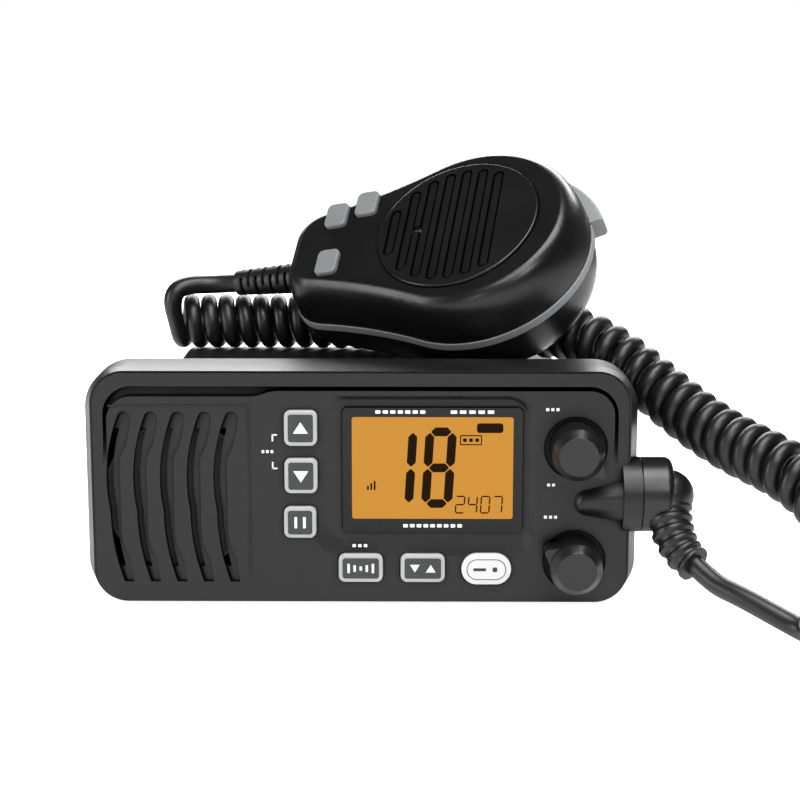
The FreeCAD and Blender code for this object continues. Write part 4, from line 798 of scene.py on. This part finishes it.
class RADIO_OT_display(bpy.types.Operator):
    """Adds the window with its black border, the amber field and the figures on it"""
    bl_idname = "radio.display"
    bl_label = "Display"

    def execute(self, context):
        dressed("display_window", 0.25)
        carried("display_glass")
        carried("display_light_tray")
        (left, right), (low, high) = AMBER_X, AMBER_Z
        centre = ((left + right) / 2, FIELD_Y, (low + high) / 2)
        field = tablet(centre, (right - left, 0.1, high - low), 0.8)
        settle(field, "amber_field", "radio", amber_glass())
        self.figures()
        return {"FINISHED"}

    def figures(self):
        marks = seven_segment("18", x=14.2, z=33.3, height=26.9, width=10.2, stroke=2.9, gap=2.6, split=0.5)
        marks += seven_segment("2407", x=30.8, z=31.4, height=6.0, width=3.2, stroke=0.45, gap=0.9,
                               split=0.12)
        for x, z, wide, high, corner in DISPLAY_SIGNS:
            marks.append(tablet((x, FIGURES_Y, z), (wide, INK, high), corner))
        settle(join(marks), "display_figures", "radio", segment_ink())


# Each front key: centre x, centre z, width, height and corner
FRONT_KEYS = {
    "up_key": (-19.4, 60.2, 10.8, 11.8, 2.2), "down_key": (-19.4, 44.3, 10.8, 11.7, 2.2),
    "side_key": (-19.8, 28.7, 10.6, 10.6, 2.2), "left_key": (0.0, 13.2, 14.6, 9.5, 2.2),
    "middle_key": (20.4, 13.2, 14.6, 9.5, 2.2), "oval_key": (41.3, 12.9, 16.4, 10.4, 5.1),
}
KEY_RIM = 1.3
KEY_FACE = 0.16  # thickness of the painted face
KEY_FACE_CORNER = 0.9
KEY_FACE_Y = KEY_FRONT_Y - 0.02
KEY_INK = 0.08  # thickness of printing on the keys
KEY_INK_Y = KEY_FRONT_Y - 0.12
OVAL_RING_Y = KEY_INK_Y + 0.05
OVAL_INSET_Y = KEY_FRONT_Y - 0.15
OVAL_DOTS_Y = KEY_FRONT_Y - 0.22


class RADIO_OT_keys(bpy.types.Operator):
    """Adds the front keys with their pale rims, dark faces and white marks"""
    bl_idname = "radio.keys"
    bl_label = "Front keys"

    def execute(self, context):
        for name, (x, z, wide, high, corner) in FRONT_KEYS.items():
            dressed(name, 0.25)
            pale = name == "oval_key"
            size = (wide - 2 * KEY_RIM, KEY_FACE, high - 2 * KEY_RIM)
            face = tablet((x, KEY_FACE_Y, z), size, max(corner - KEY_RIM, KEY_FACE_CORNER), edge_mm=0.05)
            settle(face, name + "_face", name, white_key() if pale else key_face())
            self.mark(name, x, z)
        return {"FINISHED"}

    def mark(self, name, x, z):
        ink = white_ink()
        y = KEY_INK_Y
        if name in ("up_key", "down_key"):
            up = name == "up_key"
            made = [triangle((x, y, z + (0.2 if up else -0.2)), 4.9, 3.8, KEY_INK, up)]
        elif name == "side_key":
            made = [tablet((x + side * 1.4, y, z), (0.9, KEY_INK, 3.8), 0.2) for side in (-1, 1)]
        elif name == "left_key":
            made = [tablet((x + i * 2.0, y, z), (0.8, KEY_INK, 1.4 + 0.9 * abs(i)), 0.2)
                    for i in range(-2, 3)]
        elif name == "middle_key":
            made = [triangle((x + side * 2.6, y, z), 3.2, 2.6, KEY_INK, side > 0) for side in (-1, 1)]
        else:
            ink = black_ink()
            made = [tablet((x, OVAL_RING_Y, z), (13.0, KEY_INK, 7.0), 3.4, steps=10)]
        settle(join(made), name + "_mark", name, ink)


# Where plain bars stand in for printing: centre x, centre z, width, how many
PANEL_MARKS = [(62.4, 66.3, 5.0, 3), (62.2, 41.2, 3.2, 2), (62.2, 30.4, 5.0, 3), (-0.3, 20.6, 5.6, 3),
               (-30.3, 52.2, 4.4, 3)]
WINDOW_MARKS = [(13.0, 65.3, 17.0, 7), (36.4, 65.3, 15.0, 5), (23.6, 27.2, 20.0, 9)]
BAR_CORNER = 0.25
PANEL_INK_Y = FACE_Y - 0.03
WINDOW_INK_Y = WINDOW_FRONT_Y - 0.03

# Thin ribs along the louvres: centre x, centre z, width, height
LOUVRE_RIBS = [(-59.5, 67.4, 45.0, 0.5), (-36.3, 38.5, 0.45, 57.6)]
RIB_THICK = 0.3
RIB_Y = FACE_Y - 0.05


def bars(rows, y, share, height):
    """Rows of plain bars, each of which fills a share of its step."""
    made = []
    for x, z, wide, count in rows:
        step = wide / count
        for i in range(count):
            centre = (x - wide / 2 + step * (i + 0.5), y, z)
            made.append(tablet(centre, (step * share, INK, height), BAR_CORNER))
    return made


class RADIO_OT_marks(bpy.types.Operator):
    """Adds plain bars and dots where the real panel and keys carry printing, and the ribs at the louvres"""
    bl_idname = "radio.marks"
    bl_label = "Plain marks"

    def execute(self, context):
        x, z = FRONT_KEYS["oval_key"][:2]
        inset = tablet((x, OVAL_INSET_Y, z), (12.4, 0.1, 6.4), 3.1, steps=10)
        settle(inset, "oval_key_inset", "oval_key", white_key())
        dark = [tablet((x - 2.2, OVAL_DOTS_Y, z), (4.2, KEY_INK, 1.0), 0.3),
                tablet((x + 2.8, OVAL_DOTS_Y, z), (1.6, KEY_INK, 1.6), 0.6)]
        settle(join(dark), "oval_key_dots", "oval_key", black_ink())
        printed = bars(PANEL_MARKS, PANEL_INK_Y, 0.62, 1.0)
        for side in (-1, 1):
            printed.append(tablet((-28.6, PANEL_INK_Y, 52.2 + side * 4.6), (0.5, INK, 2.4), INK_CORNER))
            printed.append(tablet((-27.9, PANEL_INK_Y, 52.2 + side * 5.6), (1.6, INK, 0.5), INK_CORNER))
        settle(join(printed), "panel_marks", "radio", white_ink())
        ribs = [tablet((x, RIB_Y, z), (wide, RIB_THICK, high), 0.1) for x, z, wide, high in LOUVRE_RIBS]
        settle(join(ribs), "louvre_border", "radio", moulded_abs())
        printed = bars(WINDOW_MARKS, WINDOW_INK_Y, 0.7, 1.1)
        settle(join(printed), "window_marks", "radio", white_ink())
        return {"FINISHED"}


class RADIO_OT_knobs(bpy.types.Operator):
    """Finishes the two knobs, their shafts and what holds them"""
    bl_idname = "radio.knobs"
    bl_label = "Knobs"

    def execute(self, context):
        for name in ("volume", "squelch"):
            dressed(name + "_knob", 0.45, angle=30.0, steps=3)
            carried(name + "_shaft")
            carried(name + "_control")
        carried("control_nuts")
        carried("control_seals")
        return {"FINISHED"}


class RADIO_OT_port(bpy.types.Operator):
    """Finishes the plug cap, its seal and the rubber elbow"""
    bl_idname = "radio.port"
    bl_label = "Side port"

    def execute(self, context):
        dressed("plug_cap", 0.3)
        dressed("elbow_boot", 0.25, material=boot_rubber())
        carried("port_seal")
        carried("port_insert")
        return {"FINISHED"}


class RADIO_OT_chassis(bpy.types.Operator):
    """Finishes the chassis, its gasket, screws and rear fittings"""
    bl_idname = "radio.chassis"
    bl_label = "Chassis"

    def execute(self, context):
        dressed("chassis", 0.5, angle=30.0)
        for node in ("chassis_flange", "panel_gasket", "panel_screws", "antenna_socket", "power_gland",
                     "accessory_gland"):
            carried(node)
        return {"FINISHED"}


class RADIO_OT_inside(bpy.types.Operator):
    """Finishes the boards, the loudspeaker and the other inner pieces"""
    bl_idname = "radio.inside"
    bl_label = "Inside"

    def execute(self, context):
        for node in ("key_mat", "front_board", "front_board_screws", "speaker_membrane", "speaker_basket",
                     "speaker_cone", "speaker_magnet", "main_board", "board_screws", "rf_shield",
                     "power_module", "ribbon_cable"):
            carried(node)
        return {"FINISHED"}


class RADIO_OT_microphone(bpy.types.Operator):
    """Finishes the hand microphone's shells, grille, keys and talk bar"""
    bl_idname = "radio.microphone"
    bl_label = "Microphone"

    def execute(self, context):
        dressed("mic_front_shell", 0.3)
        dressed("mic_back_shell", 0.4)
        dressed("mic_band", 0.3)
        dressed("mic_grille", 0.25)
        dressed("talk_bar", 0.4)
        dressed("mic_boot", 0.3, material=boot_rubber())
        for node in ("mic_up_key", "mic_down_key", "mic_low_key"):
            dressed(node, 0.2)
        for node in ("mic_board", "mic_capsule", "mic_key_mat", "talk_switch", "talk_pin", "mic_screws"):
            carried(node)
        return {"FINISHED"}


# The add-on's own properties and panel

class RadioFinishes(bpy.types.PropertyGroup):
    """Colours that a user would change"""
    panel: bpy.props.FloatVectorProperty(
        name="Panel", description="Colour of the panel moulding", subtype="COLOR", size=4,
        default=colour("#101011"), min=0.0, max=1.0)
    microphone: bpy.props.FloatVectorProperty(
        name="Microphone", description="Colour of its shells", subtype="COLOR", size=4,
        default=colour("#0b0b0c"), min=0.0, max=1.0)
    amber: bpy.props.FloatVectorProperty(
        name="Display", description="Colour of the lit display", subtype="COLOR", size=4,
        default=colour("#d08f2b"), min=0.0, max=1.0)


class RadioCord(bpy.types.PropertyGroup):
    """Sizes of the cord that a user would change"""
    wire: bpy.props.FloatProperty(
        name="Wire", description="Diameter of the curled wire", subtype="DISTANCE",
        default=6.0 * MM, min=1.0 * MM)
    lead: bpy.props.FloatProperty(
        name="Lead", description="Diameter of the straight ends", subtype="DISTANCE",
        default=6.8 * MM, min=1.0 * MM)
    coil_outside: bpy.props.FloatProperty(
        name="Coil", description="Outer diameter of the coil", subtype="DISTANCE", default=20.0 * MM)
    pitch: bpy.props.FloatProperty(
        name="Pitch", description="From one curl to the next where the coil is straight",
        subtype="DISTANCE", default=6.4 * MM)


class RadioStage(bpy.types.PropertyGroup):
    """Camera and floor settings that a user would change"""
    lens: bpy.props.FloatProperty(
        name="Lens", description="Focal length", subtype="DISTANCE_CAMERA", default=83.4)
    distance: bpy.props.FloatProperty(
        name="Distance", description="Camera to target", subtype="DISTANCE", default=600.0 * MM)
    elevation: bpy.props.FloatProperty(
        name="Elevation", description="Camera height above level", subtype="ANGLE",
        default=math.radians(11.0))
    azimuth: bpy.props.FloatProperty(
        name="Azimuth", description="Camera turn round the radio", subtype="ANGLE",
        default=math.radians(0.5))
    floor_glow: bpy.props.FloatProperty(
        name="Floor", description="Light that the camera sees from the floor itself", subtype="FACTOR",
        default=0.93, min=0.0, max=1.0)


OPERATORS = (RADIO_OT_stage, RADIO_OT_cord, RADIO_OT_panel, RADIO_OT_display, RADIO_OT_keys, RADIO_OT_marks,
             RADIO_OT_knobs, RADIO_OT_port, RADIO_OT_chassis, RADIO_OT_inside, RADIO_OT_microphone)


class RADIO_PT_pieces(bpy.types.Panel):
    bl_label = "Radio"
    bl_idname = "RADIO_PT_pieces"
    bl_space_type = "VIEW_3D"
    bl_region_type = "UI"
    bl_category = "Radio"

    def draw(self, context):
        for operator in OPERATORS:
            self.layout.operator(operator.bl_idname)
        for group in (context.scene.radio_finishes, context.scene.radio_cord, context.scene.radio_stage):
            for name in group.__annotations__:
                self.layout.prop(group, name)


CLASSES = (RadioFinishes, RadioCord, RadioStage) + OPERATORS + (RADIO_PT_pieces,)


def register():
    for cls in CLASSES:
        bpy.utils.register_class(cls)
    bpy.types.Scene.radio_finishes = bpy.props.PointerProperty(type=RadioFinishes)
    bpy.types.Scene.radio_cord = bpy.props.PointerProperty(type=RadioCord)
    bpy.types.Scene.radio_stage = bpy.props.PointerProperty(type=RadioStage)


def unregister():
    for name in ("radio_finishes", "radio_cord", "radio_stage"):
        delattr(bpy.types.Scene, name)
    for cls in reversed(CLASSES):
        bpy.utils.unregister_class(cls)


def main():
    register()
    for operator in OPERATORS:
        group, name = operator.bl_idname.split(".")
        getattr(getattr(bpy.ops, group), name)()


if __name__ == "__main__":
    main()
